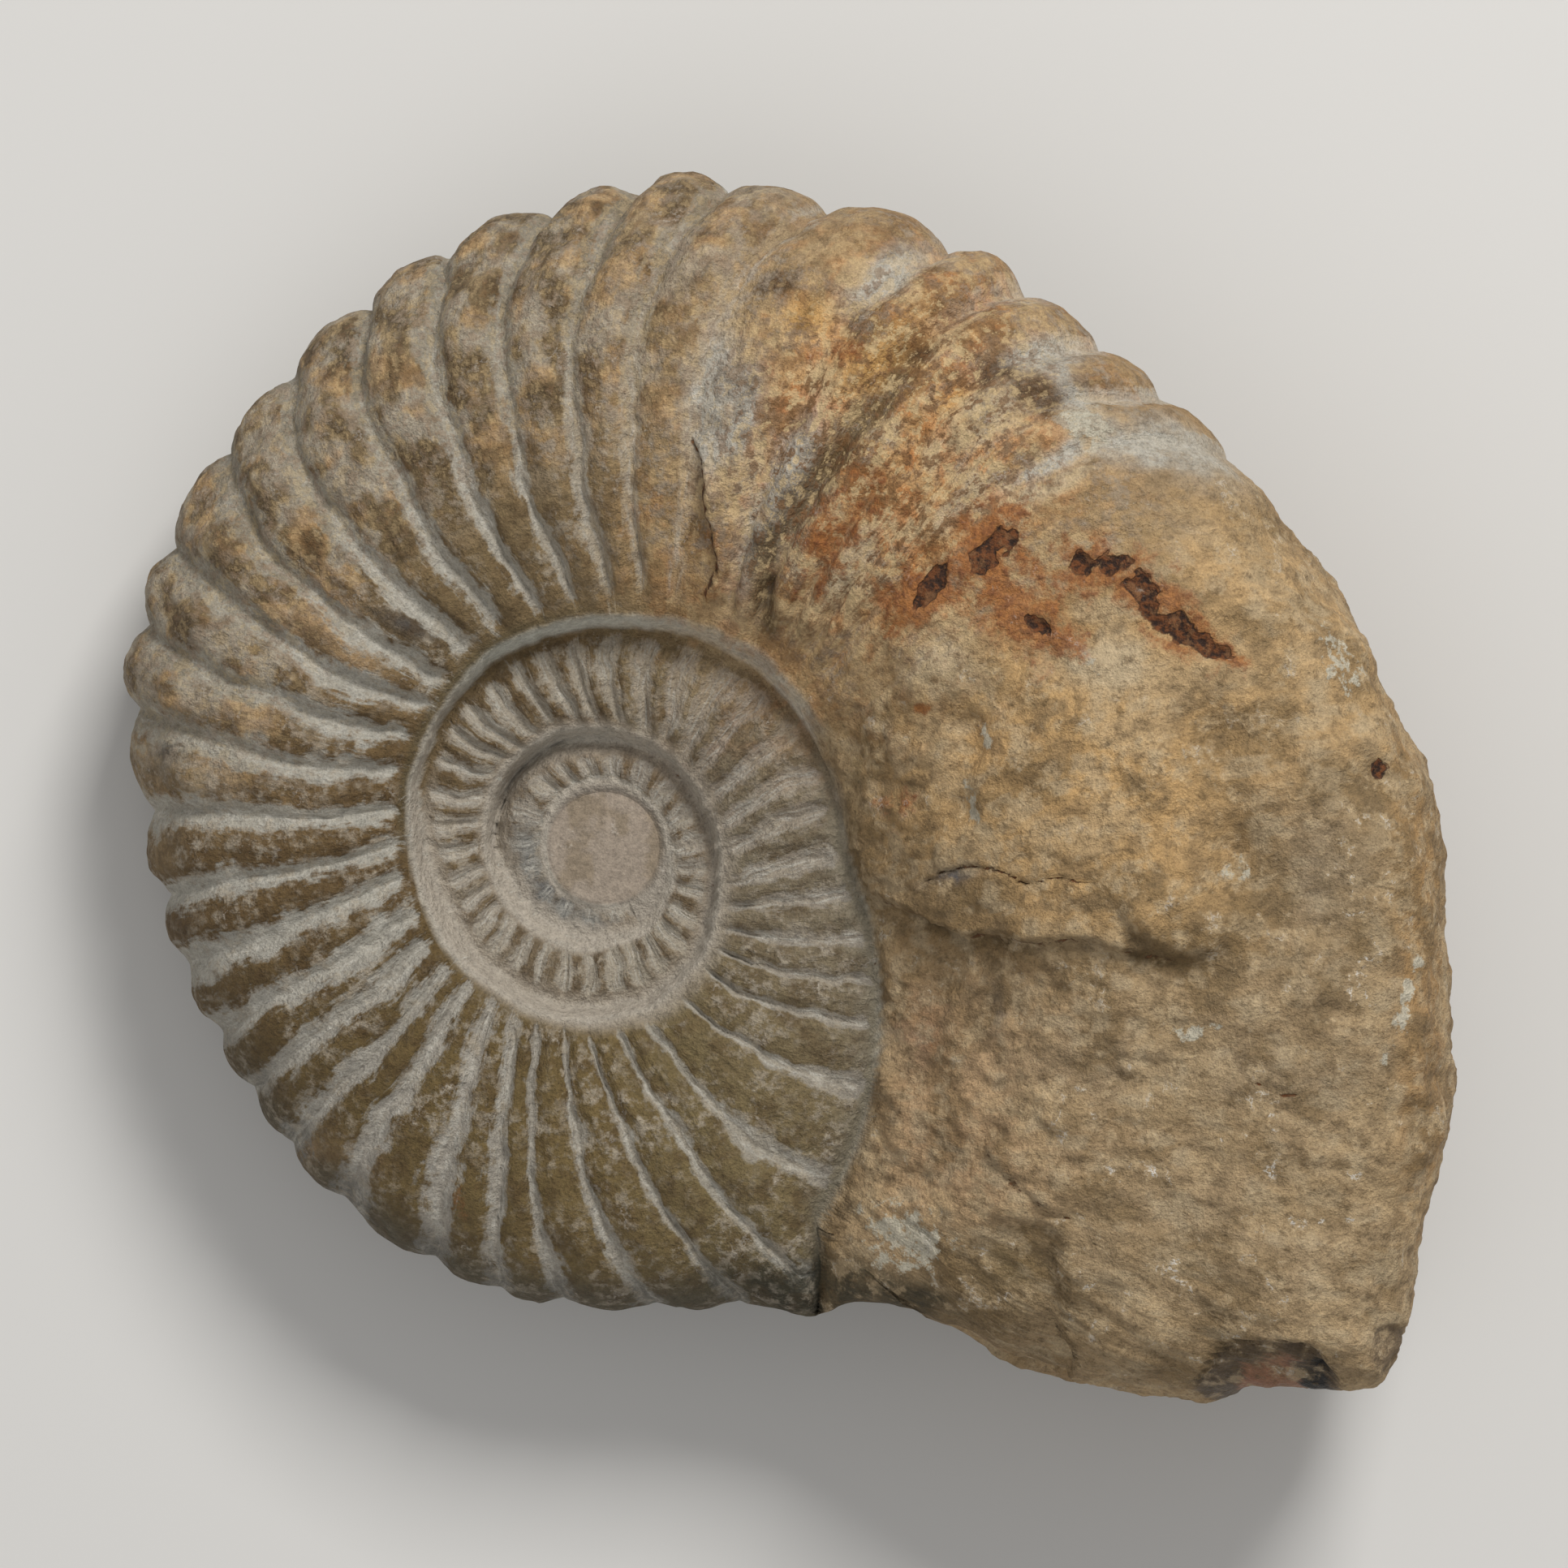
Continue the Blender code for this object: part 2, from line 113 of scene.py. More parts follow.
FULL_RADIUS = (
    (294.5, 63.8), (300, 58.0), (317, 53.0), (329, 50.0), (350, 45.0), (360, 43.0), (450, 38.0),
    (540, 30.0), (630, 24.0), (720, 16.5), (810, 14.0), (1014.5, 13.5),
)
SHOULDER_HEIGHT = (
    (-65.5, 3.0), (-62, 9.0), (-60, 11.0), (-55, 12.0), (-43, 13.3), (-31, 13.8), (-10, 14.2),
    (0, 15.0), (30, 16.2), (60, 16.7), (90, 16.6), (135, 15.0), (180, 13.6), (225, 12.8),
    (270, 12.2), (294.5, 11.8), (330, 11.0), (360, 10.0), (450, 8.8), (540, 7.6), (630, 6.9),
    (720, 5.9), (810, 5.3), (1014.5, 4.9),
)
CREST_HEIGHT = (
    (-65.5, 3.0), (-62, 9.2), (-60, 11.6), (-55, 15.5), (-50, 19.5), (-45, 23.0), (-40, 25.5),
    (-30, 28.0), (-10, 29.5), (5, 29.8), (30, 28.5), (45, 26.8), (60, 25.0), (90, 22.0),
    (135, 19.0), (180, 17.0), (225, 16.0), (270, 15.0), (294.5, 14.2), (330, 13.0), (360, 12.2),
    (450, 11.0), (540, 9.3), (630, 8.0), (720, 6.8), (810, 6.0), (1014.5, 5.2),
)
UNDER_CREST = (
    (-65.5, 14.5), (-60, 15.5), (-50, 20.0), (-40, 25.0), (-30, 28.5), (-10, 31.0), (5, 31.5),
    (30, 30.0), (60, 26.0), (90, 23.2), (135, 20.0), (180, 18.6), (225, 17.2), (270, 15.4),
)


# %% Reading a table of values along the coil
def along(table, angle):
    """Value of a table at each angle."""
    places, values = zip(*table)
    return np.interp(angle, places, values)


def around(table, angle):
    """Value of a closed table at each angle, rounded through its points."""
    places = np.array([p for p, _ in table], float)
    values = np.array([v for _, v in table], float)
    places = np.concatenate((places[-2:] - 360, places, places[:3] + 360))
    values = np.concatenate((values[-2:], values, values[:3]))
    slopes = np.gradient(values, places)
    angle = (np.asarray(angle, float) - LAST_TURN) % 360 + LAST_TURN
    i = np.clip(np.searchsorted(places, angle, side="right") - 1, 0, len(places) - 2)
    step = places[i + 1] - places[i]
    t = (angle - places[i]) / step
    start = (2 * t**3 - 3 * t**2 + 1) * values[i] + (t**3 - 2 * t**2 + t) * step * slopes[i]
    end = (3 * t**2 - 2 * t**3) * values[i + 1] + (t**3 - t**2) * step * slopes[i + 1]
    return start + end


def ease(t):
    """Smooth step from 0 to 1."""
    t = np.clip(t, 0, 1)
    return t * t * (3 - 2 * t)


print("outline radius at 0, 90, 180 and 270 degrees:", np.round(around(OUTLINE, [0, 90, 180, 270]), 1))

# %% [markdown]
# ## Noise, for everything that weather did
#
# Stone is never even.  A lattice of hashed numbers, blended between its corners, gives a soft random
# field, and a sum of such fields at finer and finer scales looks like weathered rock.  It is written
# with arrays, so a whole surface is worked out at once, and it always gives the same result.


# %% Noise helpers
def lattice(i, j, k, seed):
    """A repeatable random number from -1 to 1 for each lattice corner."""
    h = (i * 374761393 + j * 668265263 + k * 1440662683 + seed * 974634777) & 0xFFFFFFFF
    h = ((h ^ (h >> 13)) * 1274126177) & 0xFFFFFFFF
    return ((h ^ (h >> 16)) & 0xFFFF) / 32767.5 - 1


def noise(points, size, seed=0):
    """Soft noise from -1 to 1, with blobs of the given size in millimetres."""
    scaled = points / size + 1000
    cell = np.floor(scaled).astype(np.int64)
    t = scaled - cell
    t = t * t * t * (t * (6 * t - 15) + 10)
    total = 0
    for corner in range(8):
        a, b, c = corner & 1, corner >> 1 & 1, corner >> 2
        weight = np.where(a, t[..., 0], 1 - t[..., 0]) * np.where(b, t[..., 1], 1 - t[..., 1])
        weight = weight * np.where(c, t[..., 2], 1 - t[..., 2])
        total = total + weight * lattice(cell[..., 0] + a, cell[..., 1] + b, cell[..., 2] + c, seed)
    return total


def rough(points, size, octaves, seed=0, stretch=(1, 1, 1)):
    """Several octaves of noise, each half as large and half as strong as the last."""
    points = points / np.array(stretch)
    total = 0
    for octave in range(octaves):
        total = total + 0.5**octave * noise(points, size * 0.5**octave, seed + 17 * octave)
    return total


# %% [markdown]
# ## The smooth form
#
# Under the ribs, every turn is a tube.  Seen from the middle of the coil outwards it climbs a short
# wall to its shoulder, swells over the flank, and rounds over to the outer edge.  The turns lie one
# outside the other, each a step higher, which makes the stepped hollow in the middle.  The block of
# rock is the last half turn, squarer because rock broke there and not shell.


# %% Height of the smooth surface
def outer_radius(turn):
    """Radius of a turn's outer edge, along the coil."""
    return np.where(turn < LAST_TURN + 360, around(OUTLINE, turn), along(FULL_RADIUS, turn))


def rounding(turn):
    """How square the outer edge is."""
    return WHORL_ROUND + (BLOCK_ROUND - WHORL_ROUND) * ease((55 - turn) / 55)


def whorl_height(turn, radius):
    """Half thickness of one turn at a radius from the middle of the coil."""
    shoulder = along(SHOULDER, turn)
    edge = np.maximum(outer_radius(turn), shoulder + 0.1)
    low = along(SHOULDER_HEIGHT, turn)
    high = along(CREST_HEIGHT, turn)
    crest = shoulder + FLANK_CREST * (edge - shoulder)
    rise = np.clip((radius - shoulder) / (crest - shoulder), 0, 1)
    flank = low + (high - low) * np.sin(0.5 * math.pi * rise)
    fall = np.clip((radius - crest) / (edge - crest), 0, 1)
    power = rounding(turn)
    return np.where(radius < crest, flank, high * (1 - fall**power) ** (1 / power))


def upper_height(angle, radius):
    """Half thickness of the upper flank, with its stepped hollow."""
    height = HOLLOW_FLOOR - 0.3 * (radius / 8) ** 2 + 0 * angle
    for inward in (2, 1, 0):
        turn = angle + 360 * inward
        seam = along(SEAM, turn)
        wall = np.maximum(along(SHOULDER, turn) - seam, 0.5)
        above = ease((radius - seam) / wall)
        height = height * (1 - above) + whorl_height(turn, radius) * above
    return height


def under_height(angle, radius):
    """Half thickness of the hidden flank, where rock fills most of the hollow."""
    edge = around(OUTLINE, angle)
    crest = 0.62 * edge
    high = around(UNDER_CREST, angle)
    bowl = UNDER_HOLLOW + (high - UNDER_HOLLOW) * ease(radius / crest)
    fall = np.clip((radius - crest) / (edge - crest), 0, 1)
    power = rounding(angle)
    return np.where(radius < crest, bowl, high * (1 - fall**power) ** (1 / power))


# %% [markdown]
# ## Ribs and furrows
#
# The ribs are what makes this fossil: strong ridges that start at the shoulder, hook forward, cross
# the flank, and end in blunt knobs on the outer edge.  Their spacing is never quite even, so each
# furrow's angle is given one by one, and rules say how the ribs slant and how wide the furrows are.

# %% Places and shape of the furrows
FURROWS = (
    20, 31, 42, 47, 52.5, 59.5, 66, 78, 86, 93.5, 102, 110, 119, 129, 138.5, 147, 156, 165, 174.5,
    184.5, 194, 204, 212.5, 221.5, 230, 241.5, 250.5, 256.5, 266, 275.5, 285, 295, 310.5, 321.5, 329.5,
    337.5, 348, 357, 369.5, 379, 392, 404, 415, 426, 436.5, 448.5, 458.5, 467, 476, 485, 494, 503,
    512, 521.5, 532, 542.5, 553, 563, 573, 583, 593, 603, 613.5, 624, 635, 646, 657, 670, 682, 695,
    709, 725, 745, 763, 782, 802, 823, 840, 856, 877, 897, 917, 937, 957, 977, 997, 1017,
)
HOOK = ((0, 4), (60, 5), (90, 6), (160, 6), (185, 4), (250, 2), (340, 2), (440, 5), (490, 5), (520, 2.5))
SLANT = (
    (60, 0), (170, 1), (185, 4), (225, 3), (240, 10), (256, 12), (268, 17), (290, 21), (305, 24),
    (345, 23), (360, 16), (380, 8), (420, 2), (650, 3),
)
EDGE_BEND = (
    (20, 8), (28, 11), (38, 8.5), (45, 7.3), (60, 6.5), (71, 7.4), (87, 6.5), (95, 7.5),
    (105, 5.5), (123, 6), (134, 5), (144, 3), (164, 1.5), (178, 0),
)
RELIEF = (
    (18, 0.0), (26, 0.0), (31, 0.7), (50, 1.1), (59, 1.5), (70, 1.3), (90, 1.5), (180, 1.35),
    (250, 1.3), (300, 1.1), (360, 0.8), (450, 0.8), (540, 0.7), (654, 0.6),
    (860, 0.55), (905, 0.15), (1014, 0.1),
)
EDGE_GAIN = (
    (20, 0.1), (45, 0.4), (100, 0.3), (140, 0.2), (168, 0.3), (185, 0.1), (200, -0.1), (215, -0.3),
    (290, -0.3), (294.5, 0.0), (654, 0.0),
)
DEEPEN = 1.15
FURROW_SHARE = (
    (20, 0.35), (60, 0.4), (86, 0.4), (95, 0.3), (120, 0.34), (150, 0.4), (165, 0.5), (185, 0.42),
    (205, 0.52), (240, 0.54), (252, 0.42), (258, 0.32), (272, 0.26), (287, 0.28), (300, 0.22),
    (320, 0.28), (345, 0.42), (360, 0.55), (445, 0.71), (520, 0.72), (600, 0.66), (654, 0.64), (740, 0.72),
)


def share_of_flank(turn, radius):
    """0 at a turn's inner shoulder, 1 at its outer edge."""
    shoulder = along(SHOULDER, turn)
    return (radius - shoulder) / np.maximum(outer_radius(turn) - shoulder, 0.1)


def rib_place(turn, share, wander):
    """Counts furrows along the coil: a whole number is the bottom of a furrow."""
    share = np.clip(share, 0, 1)
    sweep = along(SLANT, turn) * (share - 0.45)
    sweep = sweep - along(HOOK, turn) * np.clip(1 - share / 0.4, 0, 1) ** 1.7
    sweep = sweep - along(EDGE_BEND, turn) * np.clip((share - 0.65) / 0.35, 0, 1) ** 1.5
    return np.interp(turn - sweep + wander, FURROWS, np.arange(len(FURROWS)))


def rib_shape(turn, share, wander, width_noise):
    """Profile (0 in a furrow, 1 on a rib), share of the furrow's width, depth in mm, and the place."""
    place = rib_place(turn, share, wander)
    from_furrow = np.abs(place - np.round(place))
    wider = ease((0.55 - share) / 0.35) * ease((turn - 105) / 20) * ease((225 - turn) / 20)
    furrow = along(FURROW_SHARE, turn) * (1 + 0.35 * width_noise) * (1 + 0.4 * wider)
    wall = np.clip(from_furrow / (0.75 * furrow), 0, 1)
    crown = 0.5 - 0.5 * np.cos(2 * math.pi * from_furrow)
    profile = 0.6 * (1 - (1 - wall) ** 2) + 0.5 * crown
    tiers = np.exp(-(((share - 0.80) / 0.06) ** 2)) - 0.7 * np.exp(-(((share - 0.91) / 0.04) ** 2))
    knobbed = ease((turn - 62) / 20) * ease((192 - turn) / 25)
    profile = profile + 0.45 * tiers * crown * knobbed
    gain = 1 + along(EDGE_GAIN, turn) * ease((share - 0.65) / 0.3)
    depth = DEEPEN * along(RELIEF, turn) * gain * ease(share / 0.1)
    return profile, np.clip(from_furrow / furrow, 0, 1), depth, place


print("furrows on the outermost turn:", sum(f < LAST_TURN + 360 for f in FURROWS))

# %% [markdown]
# ## A grid wrapped round the fossil
#
# The sculpt is a fine grid of rings and columns, like the lines on a globe.  The rings start in the
# middle of the coil, run out over the flank, round the outer edge, and come back in underneath, so the
# surface is closed by its making.  The columns lean with the ribs, which keeps the ribs' edges clean.

# %% Rings and columns
COLUMNS = 960
INNER_RADIUS = 24.8
INNER_RINGS = 54
FLANK_RINGS = 80
EDGE_RINGS = 48
UNDER_EDGE_RINGS = 30
UNDER_RINGS = 26
BROW = 0.7
HALF_RADIUS = 12.0
QUARTER_RADIUS = 4.0


def even_columns():
    """Angles of the columns, closer together where the outline is far from the middle."""
    angle = np.linspace(LAST_TURN, LAST_TURN + 360, 7201)
    edge = around(OUTLINE, angle)
    step = np.hypot(np.diff(edge), np.radians(0.05) * edge[:-1])
    length = np.concatenate(([0], np.cumsum(step)))
    mixed = 0.55 * length / length[-1] + 0.45 * (angle - angle[0]) / 360
    return np.interp(np.arange(COLUMNS) / COLUMNS, mixed, angle)


def swept(angle, share):
    """Angle of a column once it follows the slant of the ribs."""
    slant = np.interp(angle, (-65.5, -30, 0, 170, 240, 268, 294.5), (18, 4, 0, 0, 8, 15, 18))
    hook = np.interp(angle, (-65.5, 0, 80, 170, 250, 294.5), (2, 3, 6, 5, 2, 2))
    bend = np.interp(angle, (-65.5, 0, 35, 60, 90, 140, 178), (0, 0, 9, 7, 7, 5, 0))
    turned = slant * (np.clip(share, 0, 1) - 0.45) - hook * np.clip(1 - share / 0.4, 0, 1) ** 1.7
    return angle + turned - bend * np.clip((share - 0.65) / 0.35, 0, 1) ** 1.5


def round_the_edge(step, power):
    """How far out a ring lies, when rings are spread evenly round a squarish edge."""
    out, rise = np.sin(0.5 * math.pi * step), np.cos(0.5 * math.pi * step)
    return out / (out**power + rise**power) ** (1 / power)


def ring_plan(edge, power):
    """Radius of every ring on columns whose outer edges are given, and the side each ring is on."""
    brow = BROW * edge
    inner = np.linspace(0.45, INNER_RADIUS, INNER_RINGS)[:, None] + 0 * edge
    step = (np.arange(FLANK_RINGS) + 1)[:, None] / FLANK_RINGS
    flank = INNER_RADIUS + (brow - INNER_RADIUS) * step
    step = (np.arange(EDGE_RINGS) + 1)[:, None] / EDGE_RINGS
    over = brow + (edge - brow) * round_the_edge(step, power)
    step = 1 - (np.arange(UNDER_EDGE_RINGS) + 1)[:, None] / UNDER_EDGE_RINGS
    back = brow + (edge - brow) * round_the_edge(step, power)
    step = (np.arange(UNDER_RINGS) + 1)[:, None] / UNDER_RINGS
    under = brow + (1.0 - brow) * step
    side = np.ones(INNER_RINGS + FLANK_RINGS + EDGE_RINGS + UNDER_EDGE_RINGS + UNDER_RINGS)
    side[INNER_RINGS + FLANK_RINGS + EDGE_RINGS :] = -1
    side[INNER_RINGS + FLANK_RINGS + EDGE_RINGS - 1] = 0
    return np.concatenate((inner, flank, over, back, under)), side


def lay_grid():
    """Angle and radius of every grid point, and the side of each ring."""
    columns = even_columns()
    edge = around(OUTLINE, columns)
    first, side = ring_plan(edge, rounding(columns))
    share = (first / edge - 0.38) / 0.62
    angle = (swept(columns[None, :] + 0 * first, share) - LAST_TURN) % 360 + LAST_TURN
    stretch = around(OUTLINE, angle) / edge
    radius = first * (1 + (stretch - 1) * np.clip(share, 0, 1))
    return angle, radius, side


angle, radius, side = lay_grid()
above, below = side[:, None] > 0, side[:, None] < 0
plan_x = COIL_CENTRE[0] + radius * np.cos(np.radians(angle))
plan_y = COIL_CENTRE[1] + radius * np.sin(np.radians(angle))
edge_share = np.clip(radius / around(OUTLINE, angle), 0, 1)
plan = np.stack((plan_x, plan_y, 0 * plan_x), axis=-1)
waver = 0.28 * noise(plan, 4.0, 21) + 0.16 * noise(plan, 1.4, 22)
waver *= ease((0.82 - edge_share) / 0.15)
seam_radius = radius + waver
height = np.where(below, -under_height(angle, radius), 0)
height = np.where(above, upper_height(angle, seam_radius), height)
middle = MID_HEIGHT + TILT_X * (plan_x - COIL_CENTRE[0]) + TILT_Y * (plan_y - COIL_CENTRE[1])
smooth_form = np.stack((plan_x, plan_y, middle + height), axis=-1)
print("grid of", radius.shape, "points")

# %% [markdown]
# ## Cutting the furrows
#
# Each turn of the coil has its own furrows, so they are worked out turn by turn, from the inside out,
# and each turn covers the one inside it where it begins.  A little noise makes the ribs wander and
# vary in width, because they grew and did not come out of a machine.

# %% Ribs of all the turns
SEAM_BLEND = 0.7
RIM_BAND = 2.4


def all_ribs(angle, radius, at):
    """Relief of the ribs, band mask, strength of ribbing, wall mask, and a place along and across ribs."""
    relief, rib, strength, wall = (np.zeros(radius.shape) for _ in range(4))
    flow = np.zeros(radius.shape + (3,))
    wander = np.degrees((0.6 * noise(at, 7, 3) + 0.3 * noise(at, 2.0, 4)) / np.maximum(radius, 6))
    width = noise(at, 6, 5)
    for inward in (2, 1, 0):
        turn = angle + 360 * inward
        seam = along(SEAM, turn)
        share = share_of_flank(turn, radius)
        profile, band, depth, place = rib_shape(turn, share, wander, width)
        covered = np.where(turn - 360 < LAST_TURN, 999, along(SEAM, turn - 360))
        depth = depth * ease((covered - radius) / RIM_BAND)
        inside = ease((radius - seam) / SEAM_BLEND)
        shoulder = along(SHOULDER, turn)
        on_wall = ease((radius - seam + 0.6) / 0.6) * ease((shoulder + 0.6 - radius) / 1.2)
        relief = relief * (1 - inside) + depth * (profile - 0.5) * inside
        rib = rib * (1 - inside) + band * inside
        full_depth = np.maximum(DEEPEN * along(RELIEF, turn), 0.1)
        strength = strength * (1 - inside) + depth / full_depth * inside
        wall = wall * (1 - inside) + on_wall * inside
        here = np.stack((place * 6, radius * 0.16, turn / 12), axis=-1)
        flow = flow * (1 - inside[..., None]) + here * inside[..., None]
    return relief, np.clip(rib, 0, 1.1), np.clip(strength, 0, 1.2), wall, flow


relief, rib, ribbing, wall, flow = all_ribs(angle, np.where(above, seam_radius, radius), smooth_form)
fade_under = ease((edge_share - 0.6) / 0.35)
relief = np.where(below, relief * fade_under, relief)
ribbing = np.where(below, ribbing * fade_under, ribbing)
block = ease((38 - angle) / 14) * ease((radius - along(SEAM, angle)) / 1.0)
block = np.where(below, ease((30 - angle) / 40) * ease((angle + 62) / 12), block)
print("ribs stand up to", round(float(relief.max() - relief.min()), 2), "mm over their furrows")

# %% [markdown]
# ## Cracks, ledges and pits
#
# The block of rock broke along a few lines.  A crack is a short line of points, and what matters to the
# surface is how far each place is from that line, which side it is on, and how far along.  From that
# come a groove, or a step where one side stands higher than the other.


# %% Distance to a line on the plan
def from_line(x, y, points):
    """Distance to a broken line in millimetres, positive on its left, and the share of its length."""
    near = np.full(x.shape, 1e9)
    signed, share = np.zeros(x.shape), np.zeros(x.shape)
    lengths = [math.dist(a, b) for a, b in zip(points, points[1:])]
    before = 0
    for (ax, ay), (bx, by), length in zip(points, points[1:], lengths):
        t = np.clip(((x - ax) * (bx - ax) + (y - ay) * (by - ay)) / length**2, 0, 1)
        gap = np.hypot(x - ax - t * (bx - ax), y - ay - t * (by - ay))
        left = (bx - ax) * (y - ay) - (by - ay) * (x - ax)
        closer = gap < near
        near = np.where(closer, gap, near)
        signed = np.where(closer, np.where(left > 0, gap, -gap), signed)
        share = np.where(closer, (before + t * length) / sum(lengths), share)
        before += length
    return signed, share


def spot(x, y, centre, size, lean=0):
    """Soft round or oval spot, 1 in its middle; lean turns it, in degrees."""
    c, s = math.cos(math.radians(lean)), math.sin(math.radians(lean))
    across = ((x - centre[0]) * c + (y - centre[1]) * s) / size[0]
    up = ((y - centre[1]) * c - (x - centre[0]) * s) / size[1]
    return np.exp(-(across**2) - up**2)


def groove(signed, share, width):
    """Crack profile, 1 in the crack, closing towards both of its ends."""
    ends = np.clip(np.minimum(share, 1 - share) * 9, 0, 1) ** 0.5
    return np.exp(-((signed / width) ** 2)) * ends


def many_spots(x, y, table):
    """Sum of the spots in a table of centre, size, lean and strength."""
    return sum(strength * spot(x, y, *place) for *place, strength in table)


# %% The cracks and steps
UPPER_CRACK = (
    (17.5, -11.5), (19, -11), (23.5, -9.7), (26, -9.6), (30.5, -12.2), (32.5, -11.2), (39, -12.2),
)
LEDGE = (
    (8, -12), (14, -14.2), (19, -17), (22.5, -18.2), (32.5, -19), (36.5, -19), (43.5, -20.5), (52, -22.8),
)
CHIN = ((39, -11.5), (42, -15.5), (44.5, -19.2), (48, -20.6), (53, -19.5), (57.5, -15.5), (60, -9))
LOW_STEP = ((24, -42), (26, -46.5), (28.5, -49.3), (31.5, -51.5), (36, -53.3))
SMALL_CRACK = ((56, -35.6), (58.5, -36.2), (61, -37.8), (63, -37.6))
FACET_EDGE = ((34, -52), (34.6, -58), (35.2, -68))
BREAK = ((-10.8, 21.7), (-8.1, 26.8), (-8.5, 31.5), (-9.8, 35.6), (-10.6, 41.2), (-11.8, 43.6))
SIDE_VALLEY = ((22.8, 12), (22.6, 4), (22.3, -2), (24, -8))
RIGHT_VALLEY = ((51, 10), (53.5, 2), (55, -7), (52.5, -16))
BROWN_VALLEY = ((18, 55.5), (11, 46), (3, 36), (-2.5, 27.5), (-2, 16))
LUMPS = (
    ((36, 0), (15, 15), 0, 1.7), ((18, 13.5), (6, 6), 0, 0.9), ((36.5, 11.7), (5, 5), 0, 0.5),
    ((16, -7), (6, 8), 0, 0.7),
)
CRACKS = ((UPPER_CRACK, 0.7, 0.22), (LEDGE, 0.5, 0.45), (LOW_STEP, 0.5, 0.35), (SMALL_CRACK, 0.7, 0.28))
FACET_DEPTH = 2.6
RAISED_LIP = 1.3

x = plan_x + 0.5 * noise(smooth_form, 2.5, 31) + 0.25 * noise(smooth_form, 0.9, 32)
y = plan_y + 0.5 * noise(smooth_form, 2.5, 33) + 0.25 * noise(smooth_form, 0.9, 34)
on_top = above * 1.0


def step_up(line, rise, width, run_out, start, end):
    """A step up on the left of a line, the distance and place along the line, and how far it reaches."""
    gap, share = from_line(x, y, line)
    reach = ease(share / start) * ease((1 - share) / end)
    return rise * ease(gap / width + 0.5) * reach * np.exp(-np.maximum(gap, 0) / run_out), gap, share, reach


ledge, ledge_gap, _, ledge_reach = step_up(LEDGE, 2.6, 1.9, 14, 0.25, 0.3)
chin, chin_gap, chin_share, chin_reach = step_up(CHIN, 2.7, 3.2, 9, 0.2, 0.5)
swells = many_spots(x, y, LUMPS) + ledge + chin + step_up(LOW_STEP, 0.8, 1.0, 8, 0.2, 0.3)[0]
facet_gap, facet_share = from_line(x, y, FACET_EDGE)
facet = ease(-facet_gap / 2.4) * np.exp(-np.maximum(-facet_gap, 0) / 10) * ease((-49 - y) / 9)
swells -= FACET_DEPTH * facet
valley_gap, valley_share = from_line(x, y, SIDE_VALLEY)
valley_reach = ease(valley_share / 0.3) * ease((1 - valley_share) / 0.3)
swells -= 1.5 * np.exp(-((valley_gap / 1.9) ** 2)) * valley_reach
swells -= 0.9 * groove(*from_line(x, y, RIGHT_VALLEY), 2.8)
crack = block * np.max([deep * groove(*from_line(x, y, line), wide) for line, deep, wide in CRACKS], axis=0)
break_gap, break_share = from_line(x, y, BREAK)
break_line = groove(break_gap, break_share, 0.4)
raised = RAISED_LIP * ease(-break_gap / 0.8 + 0.5) * np.exp(-np.abs(break_gap) / 4)
raised *= ease(break_share / 0.2) * ease((1 - break_share) / 0.2)
print("steps and swells on the block reach", round(float((swells * block * on_top).max()), 2), "mm")

# %% [markdown]
# Crystals once lined small hollows in the rock.  Some broke open and left dark pits with ragged edges,
# stained by iron.  On the lower edge a bigger chip shows the flint inside.

# %% Pits and the flint chip
PITS = (
    ((25.8, 29.2), (2.0, 5.0), -38), ((18.2, 24.4), (1.4, 3.8), -35), ((31, 19.5), (2.2, 1.0), -30),
    ((38.4, 27.0), (4.8, 2.0), -6), ((42.6, 24.4), (2.6, 2.0), -40), ((47.6, 19.8), (6.6, 2.2), -38),
    ((52.5, 16.2), (3.2, 0.8), -15), ((73.5, 2.6), (1.1, 1.7), 20),
)
FLINT_TOP, FLINT_DROP = 46.0, 13.0
crest = along(CREST_HEIGHT, angle)
lid = np.where(above, ease((height / crest - 0.3) / 0.35), 0)
ragged = noise(smooth_form, 2.0, 41) + 0.6 * noise(smooth_form, 0.9, 42)
pits = np.zeros(radius.shape)
for centre, size, lean in PITS:
    ragged_spot = spot(plan_x, plan_y, centre, size, lean) * (1 + 0.7 * ragged)
    pits = np.maximum(pits, ease((ragged_spot - 0.34) / 0.35))
pits *= lid
down = np.clip((FLINT_TOP - smooth_form[..., 2]) / FLINT_DROP, 0, 9)
chip = np.sqrt(((plan_x - 59.5) / 9.6) ** 2 + ((plan_y + 76.5) / 9.0) ** 2 + down**2) + 0.06 * ragged
chip = ease((1 - chip) / 0.06) * ease((edge_share - 0.6) / 0.1)
small_chip = np.hypot((plan_x - 73.6) / 2.4, (plan_y + 69.0) / 3.2) + 0.1 * ragged
small_chip = ease((1 - small_chip) / 0.2) * lid
print("pits cover", round(float(pits.mean() * 100), 2), "% of the grid")

# %% [markdown]
# ## Weathering the surface
#
# The shell side is worn smooth on its ribs and slightly pitted, while the block is rough rock with thin
# layers in its lower half.  Noise of several sizes does this, and stretched noise gives the layers.

# %% Roughness of the stone
CRACK_DEPTH, PIT_DEPTH, CHIP_DEPTH, SMALL_CHIP_DEPTH = 0.7, 0.65, 1.5, 0.6

